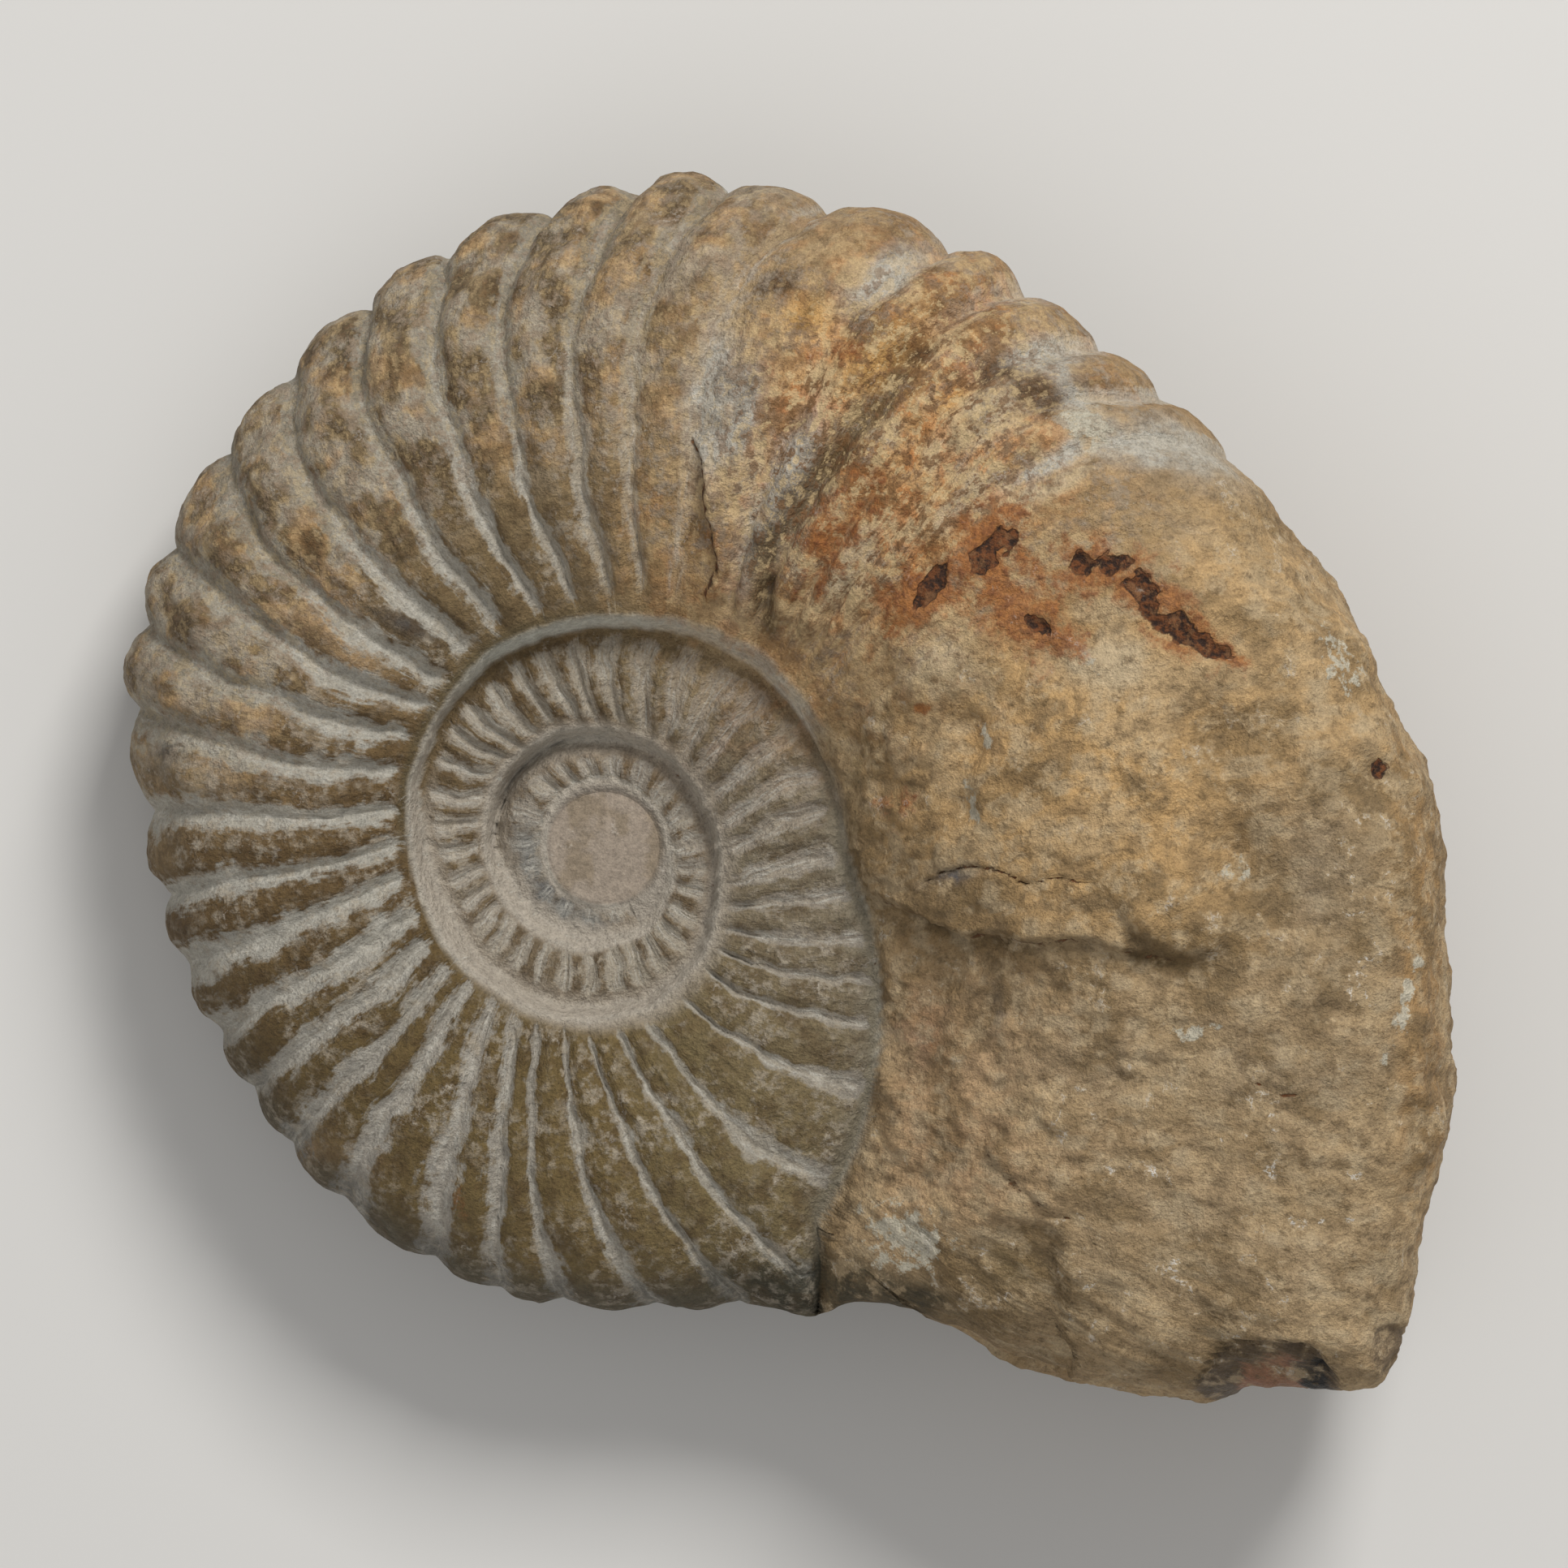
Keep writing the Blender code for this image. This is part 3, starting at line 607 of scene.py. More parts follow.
coil_skin = 0.13 * rough(smooth_form, 3.4, 3, 51)
coil_skin += 0.16 * rough(smooth_form, 5.0, 2, 52) * ease((edge_share - 0.7) / 0.2)
streaks = 0.16 * rough(flow, 1.0, 3, 53) * np.clip(ribbing, 0, 1)
low_block = ease((-17 - plan_y) / 8)
layers = rough(smooth_form + np.stack((0 * x, 0.12 * x, 0 * x), axis=-1), 2.2, 3, 54, (5, 1, 1))
block_skin = 1.0 * rough(smooth_form, 12, 2, 55) + 0.42 * rough(smooth_form, 4, 4, 56)
block_skin += 0.30 * layers * low_block + 0.22 * rough(smooth_form, 1.8, 2, 60)
block_skin -= 0.45 * np.abs(rough(smooth_form, 6, 3, 57)) * (1 - 0.6 * low_block)

inner_core = ease((12 - radius) / 3) * on_top
worn_side = ease((angle - 150) / 25) * ease((285 - angle) / 25)
plug_ridge = 0.3 * np.exp(-(((radius - 6.9) / 0.6) ** 2)) * worn_side
plug_valley = 0.4 * np.exp(-(((radius - 8.6) / 1.0) ** 2)) * worn_side * (1 + noise(smooth_form, 2.2, 58))
worn = spot(plan_x, plan_y, (-12.6, 31), (3.6, 9.5), -4) * ease(break_gap / 0.6) * on_top
scuffed = ease((edge_share - 0.52) / 0.2) * ease((angle - 66) / 14) * ease((182 - angle) / 30) * on_top
crusty = np.clip(1.5 * spot(plan_x, plan_y, (16, 34), (17, 22), -35) + 0.6 * scuffed, 0, 1) * on_top
inner_corner = np.clip(1.4 * spot(plan_x, plan_y, (11.5, -61), (6.0, 5.5)), 0, 1)

relief = relief * (1 - np.clip(1.15 * worn, 0, 1))
relief += coil_skin * (1 - block) * (1 - 0.75 * inner_core) * (1 - 0.6 * worn) + streaks * (1 - block)
relief += (swells * on_top + block_skin) * block + (plug_ridge - plug_valley) * on_top
relief += (raised - 0.35 * break_line) * on_top * (1 - 0.5 * block)
relief += 0.34 * rough(smooth_form, 3.0, 4, 59) * crusty
relief -= 1.3 * groove(*from_line(x, y, BROWN_VALLEY), 1.7) * on_top
relief *= (1 - 0.7 * wall * on_top) * (1 - 0.95 * inner_corner)
relief -= CRACK_DEPTH * crack * on_top + PIT_DEPTH * pits + SMALL_CHIP_DEPTH * small_chip
relief -= CHIP_DEPTH * chip * (1 - ease((edge_share - 0.965) / 0.03))


def along_normals(form, amount):
    """Every grid point moved along the form's own normal."""
    out = np.gradient(form, axis=0)
    turn = np.roll(form, -1, axis=1) - np.roll(form, 1, axis=1)
    normal = np.cross(out, turn)
    normal /= np.maximum(np.linalg.norm(normal, axis=-1, keepdims=True), 1e-9)
    return form + normal * amount[..., None]


sculpt = along_normals(smooth_form, relief)
sculpt[..., 2] = np.maximum(sculpt[..., 2], 0)
low, high = sculpt.min(axis=(0, 1)), sculpt.max(axis=(0, 1))
fit = (CAD_HIGH - CAD_LOW) / MM / (high - low)
sculpt = CAD_LOW / MM + (sculpt - low) * fit
print("sculpt scaled into the CAD box by", np.round(fit, 4))

# %% [markdown]
# ## One closed mesh
#
# Rings near the middle of the coil need fewer points than rings at the edge, so the grid drops to half
# and then to a quarter of its columns there.  A short fan closes the middle of each side.


# %% Building the mesh
def ring_step(first_radius, side_of_ring):
    """How many columns a ring skips from one point to the next."""
    if first_radius < QUARTER_RADIUS:
        return 4
    return 2 if first_radius < HALF_RADIUS or side_of_ring == -2 else 1


def ring_faces(inner, outer):
    """Faces between two rings of vertex numbers; either may hold half as many as the other."""
    if len(inner) == len(outer):
        after = [j - len(inner) + 1 for j in range(len(inner))]
        return [(inner[j], outer[j], outer[k], inner[k]) for j, k in enumerate(after)]
    coarse, fine = (inner, outer) if len(inner) < len(outer) else (outer, inner)
    faces = []
    for j in range(len(coarse)):
        k = (j + 1) % len(coarse)
        a, b, c = fine[2 * j], fine[2 * j + 1], fine[(2 * j + 2) % len(fine)]
        for face in ((coarse[j], a, b), (coarse[j], b, coarse[k]), (coarse[k], b, c)):
            faces.append(face if coarse is inner else face[::-1])
    return faces


steps = []
for i in range(len(side)):
    hidden = -2 if i > INNER_RINGS + FLANK_RINGS + EDGE_RINGS + UNDER_EDGE_RINGS else side[i]
    steps.append(ring_step(radius[i].mean(), hidden))
picked = [(i, j) for i, step in enumerate(steps) for j in range(0, COLUMNS, step)]
rows, cols = (np.array(part) for part in zip(*picked))
starts = np.concatenate(([0], np.cumsum([COLUMNS // step for step in steps])))
rings = [list(range(starts[i], starts[i + 1])) for i in range(len(steps))]
faces = [face for inner, outer in zip(rings, rings[1:]) for face in ring_faces(inner, outer)]
top_pole, under_pole = int(starts[-1]), int(starts[-1]) + 1
faces += [(top_pole, rings[0][j], rings[0][j - len(rings[0]) + 1]) for j in range(len(rings[0]))]
faces += [(under_pole, rings[-1][j - len(rings[-1]) + 1], rings[-1][j]) for j in range(len(rings[-1]))]
points = np.concatenate((sculpt[rows, cols], [sculpt[0].mean(axis=0)], [sculpt[-1].mean(axis=0)]))

mesh = bpy.data.meshes.new("ammonite_stone")
mesh.from_pydata((points * MM).tolist(), [], faces)
mesh.validate()
mesh.shade_smooth()
fossil = bpy.data.objects.new("ammonite_stone", mesh)
bpy.context.scene.collection.objects.link(fossil)
print(len(mesh.vertices), "points and", len(mesh.polygons), "faces")

# %% [markdown]
# ## The stone's own colours
#
# Three things colour this fossil: the brown skin left on the ribs, the pale chalky rock in the furrows,
# and the tan matrix of the block, stained by iron.  The tones change slowly along the coil, so they are
# tables along the coil as the sizes were, and stains are soft spots laid over them.  They are kept on the
# mesh as two colours and a few masks, and the material adds the fine grain.


# %% Tones along the coil
def linear(colour):
    """A colour as the eye orders it, turned into the amounts of light that Blender mixes."""
    c = np.asarray(colour, float)
    return np.where(c <= 0.04045, c / 12.92, ((c + 0.055) / 1.055) ** 2.4)


RIB_TONE = (
    (-65.5, (0.55, 0.46, 0.33)), (20, (0.61, 0.50, 0.35)), (45, (0.61, 0.50, 0.345)),
    (60, (0.60, 0.48, 0.315)), (78, (0.55, 0.455, 0.31)), (90, (0.49, 0.415, 0.29)),
    (130, (0.44, 0.365, 0.245)), (160, (0.41, 0.325, 0.20)), (190, (0.38, 0.30, 0.18)),
    (215, (0.38, 0.31, 0.18)), (240, (0.41, 0.34, 0.20)), (270, (0.43, 0.36, 0.22)),
    (290, (0.44, 0.38, 0.25)), (310, (0.46, 0.40, 0.28)), (335, (0.48, 0.43, 0.34)),
    (360, (0.46, 0.42, 0.34)), (400, (0.45, 0.41, 0.33)), (430, (0.46, 0.41, 0.30)),
    (460, (0.42, 0.345, 0.23)), (540, (0.42, 0.35, 0.24)), (600, (0.45, 0.39, 0.30)),
    (654, (0.46, 0.40, 0.31)), (720, (0.45, 0.38, 0.28)), (1014, (0.46, 0.39, 0.29)),
)
FURROW_TONE = (
    (-65.5, (0.60, 0.55, 0.47)), (20, (0.62, 0.51, 0.35)), (70, (0.62, 0.51, 0.35)),
    (84, (0.62, 0.57, 0.48)), (98, (0.65, 0.62, 0.56)), (150, (0.66, 0.64, 0.59)),
    (190, (0.64, 0.62, 0.57)), (240, (0.61, 0.58, 0.53)), (290, (0.59, 0.56, 0.50)),
    (340, (0.57, 0.53, 0.47)), (400, (0.55, 0.51, 0.45)), (450, (0.61, 0.57, 0.50)),
    (540, (0.63, 0.59, 0.53)), (654, (0.61, 0.57, 0.50)), (720, (0.61, 0.57, 0.51)),
    (1014, (0.59, 0.55, 0.49)),
)
# Cream of the smooth margins inside the ribs, and painted light on the walls that face the key light.
CREAM_AND_WALL_LIGHT = (0.66, 0.62, 0.56)
PLUG_GREY = (0.56, 0.51, 0.45)
RING_GREY = (0.50, 0.49, 0.46)
RING_DARK = (0.33, 0.33, 0.33)
MATRIX_TAN = (0.655, 0.535, 0.365)
SIDE_TAN = (0.62, 0.51, 0.365)
SLATE = (0.36, 0.36, 0.37)
CHALK = (0.68, 0.66, 0.61)
tones = {name: np.zeros(radius.shape + (3,)) for name in ("rib", "furrow", "matrix")}


def tone_along(table, turn):
    """Linear colour of a tone table at each place along the coil."""
    places = [place for place, _ in table]
    return np.stack([np.interp(turn, places, [linear(c)[k] for _, c in table]) for k in range(3)], axis=-1)


def lay(names, *paints):
    """Lay colours, each where its own mask is strong, over the tones that are named."""
    for colour, mask in paints:
        for name in names.split():
            tones[name] += (linear(colour) - tones[name]) * np.clip(mask, 0, 1)[..., None]


def stain(*place):
    """Soft spot on the plan, with centre, size and lean."""
    return spot(plan_x, plan_y, *place)


def span(start, rise, end, fall):
    """Share of the coil between two angles, with soft ends."""
    return ease((angle - start) / rise) * ease((end - angle) / fall)


for inward in (2, 1, 0):
    turn = angle + 360 * inward
    inside = ease((radius - along(SEAM, turn)) / 0.5)[..., None]
    for name, table in (("rib", RIB_TONE), ("furrow", FURROW_TONE)):
        tones[name] = tones[name] * (1 - inside) + tone_along(table, turn) * inside

plug = ease((7.8 - radius) / 1.0) * on_top
lit_rim = ease((np.cos(np.radians(angle - 225)) + 0.35) / 0.5)
ring = worn_side * np.exp(-(((radius - 9.6) / 1.8) ** 2)) * on_top
ring_spots = ring * ease((rough(smooth_form, 1.8, 2, 63) - 0.25) / 0.3)
# Painted shade: a dark band on the brow just outside each turn's shoulder, on the upper side of the coil.
brow = np.exp(-(((radius - along(SHOULDER, angle) - 0.7) / 0.7) ** 2)) * span(60, 15, 190, 20)
bare = (1 - np.clip(ribbing, 0, 1)) * ease((24 - radius) / 2) * (1 - plug)
lay("rib furrow", (PLUG_GREY, plug))
# The walls between the turns are pale grey stone, painted paler still as painted light against the shade of
# their steep slopes; where a wall faces the key light, its cream is a painted highlight.
lay("rib", ((0.83, 0.83, 0.78), 0.9 * wall * on_top), (CREAM_AND_WALL_LIGHT, wall * on_top * lit_rim))
lay("furrow", ((0.84, 0.84, 0.79), 0.9 * wall * on_top))
lay("rib furrow", (RING_GREY, ring), (RING_DARK, 0.8 * ring_spots))
# Painted shade on the brow, and cream on the smooth margins inside the ribs.
lay("rib", ((0.30, 0.27, 0.18), 0.6 * brow * on_top), (CREAM_AND_WALL_LIGHT, 0.8 * bare * on_top))
print("tones laid on", radius.size, "grid points")

# %% [markdown]
# The ribs of the outer turn are brown on their knobs, tan between them, and darker with painted shade
# where they turn over the edge.  The furrows turn from chalk to a duller grey there, with the same painted
# shade.

# %% The outer ribs
knob_spots = 0.5 + 0.5 * rough(smooth_form, 4.5, 2, 62)
# Painted shade on ribs and furrows where they turn over the edge on the upper side.
edge_shade = 0.5 * ease((edge_share - 0.8) / 0.15) * span(35, 20, 155, 25)
edge_chalk = ease((edge_share - 0.84) / 0.08) * span(26, 8, 66, 10)
lay("rib", ((0.36, 0.29, 0.19), ease((edge_share - 0.78) / 0.12) * span(70, 20, 185, 20) * knob_spots))
lay("furrow", ((0.56, 0.52, 0.44), 0.7 * ease((edge_share - 0.66) / 0.12) * span(72, 12, 180, 20)))
lay("rib", ((0.37, 0.32, 0.23), edge_shade))
lay("furrow", ((0.44, 0.41, 0.35), edge_shade), (CHALK, 0.85 * edge_chalk))
outer_tan = ease((edge_share - 0.72) / 0.15) * span(60, 20, 190, 20) * (1 - knob_spots)
lay("rib", ((0.62, 0.53, 0.39), 0.9 * outer_tan))

# %% [markdown]
# The matrix of the block is tan.  It is warmer and paler on its high parts, greener and darker along the
# seam, and mottled all over.  Under the ledge and the chin it carries painted shade.

# %% The matrix of the block
chin_shade = 0.75 * ease((0.4 - chin_gap) / 0.9) * np.exp(-np.maximum(-chin_gap, 0) / 1.8) * chin_reach
chin_shade *= (1 + 0.5 * ragged) * ease((0.75 - chin_share) / 0.2)
ledge_shade = 0.85 * np.exp(-(((ledge_gap + 0.5) / 0.9) ** 2)) * ledge_reach * (1 + 0.4 * ragged)
lay(
    "matrix",
    (MATRIX_TAN, 1 + 0 * radius),
    ((0.74, 0.595, 0.395), stain((40, 4), (21, 18))),
    ((0.625, 0.53, 0.395), 0.9 * low_block),
    ((0.74, 0.61, 0.455), 0.9 * stain((21, -40), (13, 17))),
    ((0.66, 0.57, 0.44), 0.8 * stain((50, -58), (24, 11))),
    ((0.53, 0.48, 0.40), 0.8 * stain((66, -11), (8, 12))),
    ((0.49, 0.43, 0.34), 0.7 * stain((50, -35), (24, 5), -4)),
    ((0.63, 0.49, 0.31), 0.8 * ease((plan_x - 73) / 4) * ease((plan_y + 60) / 10)),
    ((0.79, 0.63, 0.41), 0.9 * stain((13, 44), (10, 16), 35)),
    ((0.75, 0.62, 0.44), 0.8 * stain((60, 22), (15, 17))),
    ((0.50, 0.43, 0.30), 0.8 * stain((11, 8), (4, 18), -12)),
    ((0.46, 0.38, 0.26), 0.8 * stain((17, -14), (12, 5), -12)),
    # painted shadow along and below the ledge
    ((0.36, 0.285, 0.16), 0.7 * stain((38, -20), (16, 2.6), -4)),
    ((0.42, 0.35, 0.22), 0.8 * stain((27, -59), (5, 5), 40)),
    ((0.66, 0.47, 0.33), 0.7 * stain((17.5, -30), (2.8, 4))),
    ((0.45, 0.38, 0.26), 0.65 * stain((26, -61), (7, 7))),
    ((0.29, 0.225, 0.12), chin_shade),
    ((0.31, 0.245, 0.14), ledge_shade),
    ((0.68, 0.58, 0.43), 0.7 * groove(facet_gap, facet_share, 0.9)),
    (SIDE_TAN, 1 - lid),
)
seam_gap = radius - along(SEAM, angle)
tan_cloud, tan_grain = rough(smooth_form, 6.5, 4, 73), rough(smooth_form, 2.4, 3, 74)
lay(
    "matrix",
    ((0.42, 0.35, 0.23), 0.75 * np.exp(-((seam_gap / 2.6) ** 2))),
    (SLATE, spot(x, y, (21.5, -10.9), (3.0, 0.8), 10)),
    (SLATE, spot(x, y, (25.6, -26.6), (0.7, 2.6), 8)),
    ((0.66, 0.53, 0.41), 0.7 * stain((16.5, -31), (5, 4.5))),
    ((0.62, 0.50, 0.37), 0.7 * stain((20, -45), (9, 5), -30)),
    ((0.71, 0.61, 0.46), 0.6 * ease((tan_cloud - 0.15) / 0.45)),
    ((0.46, 0.375, 0.245), 0.6 * ease((-tan_cloud - 0.15) / 0.45)),
    ((0.69, 0.62, 0.50), 0.5 * ease((tan_grain - 0.2) / 0.4)),
    ((0.43, 0.36, 0.26), 0.5 * ease((-tan_grain - 0.25) / 0.4)),
)
for name in ("rib", "furrow"):
    tones[name] += (tones["matrix"] - tones[name]) * block[..., None]
seam_grey = ease((30 - angle) / 20) * np.exp(-((np.minimum(seam_gap + 0.4, 0) / 3.2) ** 2))
seam_grey *= 0.8 * (1 - block) * on_top
lay("rib", ((0.50, 0.47, 0.40), seam_grey))
lay("furrow", ((0.53, 0.50, 0.45), seam_grey))
print("mean tone of the matrix:", np.round(tones["matrix"].mean(axis=(0, 1)), 3))

# %% [markdown]
# Where shell and block meet, at the upper right, the rock is at its warmest: cream and orange patches,
# dark knobs, pale chalk at the ends of the furrows.  These lie over ribs, furrows and block alike.

# %% Warm rock of the upper right
PALE_ENDS = (
    ((33, 52.8), (6.5, 1.9), 14, 1), ((49, 40.8), (9, 3.0), -8, 1), ((36, 46.5), (1.5, 5.0), 35, 1),
    ((32.5, 39.5), (4.5, 0.8), 28, 1), ((-0.5, 34.5), (2.4, 9), -22, 1), ((-9, 47), (2.2, 7), -8, 1),
    ((13, 63), (5, 1.8), 35, 1), ((-5.5, 45), (2.2, 5), -20, 1),
)
OCHRE_PATCHES = (((11.5, 52.0), (5.0, 4.2), 40, 1), ((3, 57), (3, 2.4), 0, 1), ((22, 47), (3, 2), 30, 1))
DARK_KNOBS = (
    ((-1.0, 61.0), (3.2, 1.5), 20, 1), ((10.2, 56.2), (2.0, 2.6), 0, 1), ((17.0, 53.6), (1.8, 1.6), 0, 1),
    ((13, 69), (2.2, 1.2), 0, 1), ((31, 47.5), (3.2, 1.6), -20, 1), ((26, 50.5), (2.0, 1.6), 0, 1),
)
CREAM_SLIVERS = (
    ((8, 27), (1.6, 5.0), -38, 1), ((25, 46), (2.2, 5), -45, 1), ((21, 33.5), (1.1, 4), -50, 1),
    ((19, 14.5), (3.6, 3.0), 0, 1), ((38.5, 15), (5.0, 2.8), -10, 1), ((33, 36.5), (5.5, 1.2), 28, 1),
)

scuffs, flakes = rough(smooth_form, 3.4, 4, 75), rough(smooth_form, 4.2, 3, 76)
lay(
    "rib",
    ((0.64, 0.60, 0.53), 0.8 * scuffed * ease(scuffs / 0.25)),
    ((0.68, 0.55, 0.38), 0.75 * scuffed * ease((flakes - 0.15) / 0.25)),
    ((0.29, 0.225, 0.135), 0.75 * scuffed * ease((-scuffs - 0.25) / 0.25)),
)
lay("furrow", ((0.45, 0.40, 0.31), 0.5 * scuffed * ease((flakes - 0.1) / 0.3)))
mottle, fine_mottle = rough(smooth_form, 5.0, 4, 71), rough(smooth_form, 2.2, 3, 72)
warm = np.clip(1.5 * stain((12, 40), (20, 24), -30), 0, 1) * on_top
pale_ends = 1.7 * many_spots(x, y, PALE_ENDS) * on_top * (1 + 0.6 * fine_mottle)
brown_valley = groove(*from_line(x, y, BROWN_VALLEY), 1.9) * on_top * (1 + 0.5 * fine_mottle)
slivers = 1.4 * many_spots(x, y, CREAM_SLIVERS) * on_top * (1 + 0.8 * fine_mottle)
dark_knobs = 1.5 * many_spots(x, y, DARK_KNOBS) * on_top * (1 + fine_mottle)
lay(
    "rib furrow",
    ((0.74, 0.57, 0.37), 0.8 * warm * (1 - 0.6 * block)),
    ((0.76, 0.66, 0.50), 0.8 * warm * ease((mottle - 0.06) / 0.16)),
    ((0.50, 0.345, 0.19), 0.8 * warm * ease((-mottle - 0.18) / 0.16)),
    ((0.71, 0.46, 0.24), 0.7 * warm * ease((fine_mottle - 0.3) / 0.2)),
    (CHALK, lid * np.clip(pale_ends, 0, 0.9)),
    ((0.78, 0.60, 0.35), np.clip(many_spots(x, y, OCHRE_PATCHES) * on_top, 0, 0.9)),
    ((0.38, 0.30, 0.18), np.clip(brown_valley, 0, 0.9)),
    ((0.74, 0.66, 0.53), np.clip(slivers, 0, 0.85)),
    ((0.31, 0.22, 0.13), np.clip(dark_knobs, 0, 0.9) * lid),
)
print("warm rock over", round(float((warm > 0.5).mean() * 100), 1), "% of the grid")

# %% Single marks, and the flint in the chip
TAN_KNOBS = (
    ((-56.5, 20), (4.5, 4), 0, 1), ((-58.5, -44.5), (3, 2.5), 0, 1), ((-52.5, -47.5), (3, 2.5), 0, 1),
    ((-51, 15), (3, 5), 40, 1),
)
SLATE_MARKS = (((-46.5, 20), (4.5, 1.2), -25, 1), ((-76, 5), (2, 2), 0, 1))

patches = 0.5 + 0.5 * rough(smooth_form, 9, 3, 61)
dark_edge = 0.7 * ease((edge_share - 0.9) / 0.08) * span(195, 30, 300, 20)
tan_knobs = 1.26 * many_spots(plan_x, plan_y, TAN_KNOBS) * patches * on_top
slate_marks = 0.9 * many_spots(plan_x, plan_y, SLATE_MARKS) * on_top
lay("rib", ((0.46, 0.40, 0.31), 0.55 * plug * ease(mottle / 0.4 + 0.3)), ((0.30, 0.29, 0.25), dark_edge))
lay("furrow", ((0.34, 0.33, 0.30), dark_edge))
lay("rib", ((0.67, 0.55, 0.40), tan_knobs), ((0.27, 0.26, 0.25), slate_marks))
# Painted shadow: a dark patch at the bottom, where the end of the coil meets the block.
seam_shadow = 1.5 * stain((6, -62), (13, 4.4), -8) * ease((edge_share - 0.8) / 0.15) * (1 + 0.5 * fine_mottle)
flint = np.clip(chip, 0, 1)
pink = ease((stain((60.5, -73.8), (4.6, 3.4)) * (1 + 0.3 * ragged) - 0.42) / 0.08) * flint
crystals = ease((stain((64.6, -72.6), (2.4, 1.6), -20) * (1 + 0.8 * ragged) - 0.4) / 0.1) * flint
lay(
    "rib furrow",
    ((0.20, 0.19, 0.135), np.clip(seam_shadow, 0, 0.9)),
    ((0.34, 0.28, 0.205), flint),
    ((0.56, 0.385, 0.285), pink),
    ((0.09, 0.08, 0.07), crystals),
    ((0.40, 0.34, 0.27), 0.8 * small_chip),
)

# %% [markdown]
# Iron stains, crusts, flecks and dark pits get their colours from the material.  The mesh only says
# where they are, as masks.

# %% Masks for the material
RUST_SPOTS = (
    ((15.5, 22.5), (4.5, 3.6), 30, 0.9), ((30, 20), (9, 5), -25, 0.8), ((17.4, 9.6), (1.6, 1.0), 0, 0.9),
    ((24, 30), (6, 6), 0, 0.7), ((38.5, 26.5), (6.5, 3), 0, 0.8), ((7, 31), (5, 10), -30, 0.7),
    ((8, 53), (6, 3), 0, 0.5), ((17.5, -31), (3, 5), 0, 0.4), ((-40, -51), (2, 4), 0, 0.5),
    ((15, -2), (3, 4), 0, 0.5),
)
RAGGED_CRUSTS = (
    ((15.0, -56), (7, 5.5), -40, 0.75), ((23.8, -2), (1.3, 3.6), 10, 0.75), ((24.6, 6), (1.2, 2.4), 0, 0.75),
)
SOFT_CRUSTS = (
    ((75.5, -27), (1.2, 8), -20, 0.8), ((55, -10), (3, 2), 0, 0.5), ((37, 15), (5, 3.6), 0, 0.4),
    ((50, -30), (6, 1.6), 15, 0.6), ((36, 44), (6, 4), -30, 0.7), ((68, 15), (3, 7), 20, 0.6),
)
FLECK_SPOTS = (((50, -50), (25, 14), 0, 1), ((72, -20), (5, 16), 0, 1))

rust = many_spots(plan_x, plan_y, RUST_SPOTS)
for centre, size, lean in PITS[:-1]:
    halo = (size[0] * 1.6 + 0.5, size[1] * 1.6 + 0.5)
    rust = np.maximum(rust, 0.8 * stain(centre, halo, lean))
rust = np.clip(rust, 0, 1) * lid
fleck = block * (0.35 + 0.65 * np.clip(many_spots(plan_x, plan_y, FLECK_SPOTS), 0, 1))
fleck += 0.8 * stain((24, 2), (1.5, 8)) + 0.25 * (1 - block)
pale = np.clip(many_spots(x, y, RAGGED_CRUSTS) + many_spots(plan_x, plan_y, SOFT_CRUSTS), 0, 1) * lid
gaps = [radius - along(SEAM, angle + 360 * inward) for inward in (1, 0)]
seam_line = np.max([np.exp(-(((gap + 0.1) / 0.35) ** 2)) for gap in gaps], axis=0)
seam_line *= on_top * ease((80 - np.abs(angle - 10)) / 25)
dark = np.clip(pits + 0.9 * crack + 0.62 * break_line * on_top, 0, 1)
dark = np.clip(dark + 0.3 * seam_line, 0, 1)
print("rust over", round(float((rust > 0.3).mean() * 100), 1), "% of the grid")

# %% Writing the tones and masks on the mesh
chosen = (rows, cols)


def keep_mask(name, values):
    """Store one mask on the mesh, with the middle points taken from the rings round them."""
    column = np.concatenate((values[chosen], [values[0].mean()], [values[-1].mean()]))
    mesh.attributes.new(name, "FLOAT", "POINT").data.foreach_set("value", column.astype(np.float32))


def keep_vector(name, kind, values, field):
    """Store three or four numbers for each point."""
    table = np.concatenate((values[chosen], values[0].mean(axis=0)[None], values[-1].mean(axis=0)[None]))
    if kind == "FLOAT_COLOR":
        table = np.concatenate((table, np.ones((len(table), 1))), axis=1)
    mesh.attributes.new(name, kind, "POINT").data.foreach_set(field, table.astype(np.float32).ravel())


keep_vector("rib_tone", "FLOAT_COLOR", np.clip(tones["rib"], 0, 1), "color")
keep_vector("furrow_tone", "FLOAT_COLOR", np.clip(tones["furrow"], 0, 1), "color")
keep_vector("flow", "FLOAT_VECTOR", flow, "vector")
keep_mask("rib", rib + (0.8 - rib) * (1 - np.clip(ribbing * 1.3, 0, 1)))
keep_mask("ribbed", np.clip(ribbing, 0, 1) * (1 - block))
masks = {"block": block, "rust": rust, "dark": dark, "fleck": fleck, "flint": flint, "pale": pale,
         "warm": np.maximum(warm, 0.4 * scuffed), "smooth": plug}
for name, values in masks.items():
    keep_mask(name, values)
print("attributes:", [a.name for a in mesh.attributes if not a.name.startswith(".")])

# %% [markdown]
# ## Limestone as a material
#
# The mesh carries the large tones, and the material adds what is too fine for a mesh: mottled patina on
# the ribs, chalky streaks that run along the furrows, iron stains with ragged edges, white flecks of
# calcite and a sandy grain.  Each of these is a noise, cut to a soft-edged mask, that mixes a colour in.


# %% Small helpers for shader nodes
def node(tree, kind, **settings):
    """A new node with its settings."""
    made = tree.nodes.new(kind)
    for name, value in settings.items():
        setattr(made, name, value)
    return made


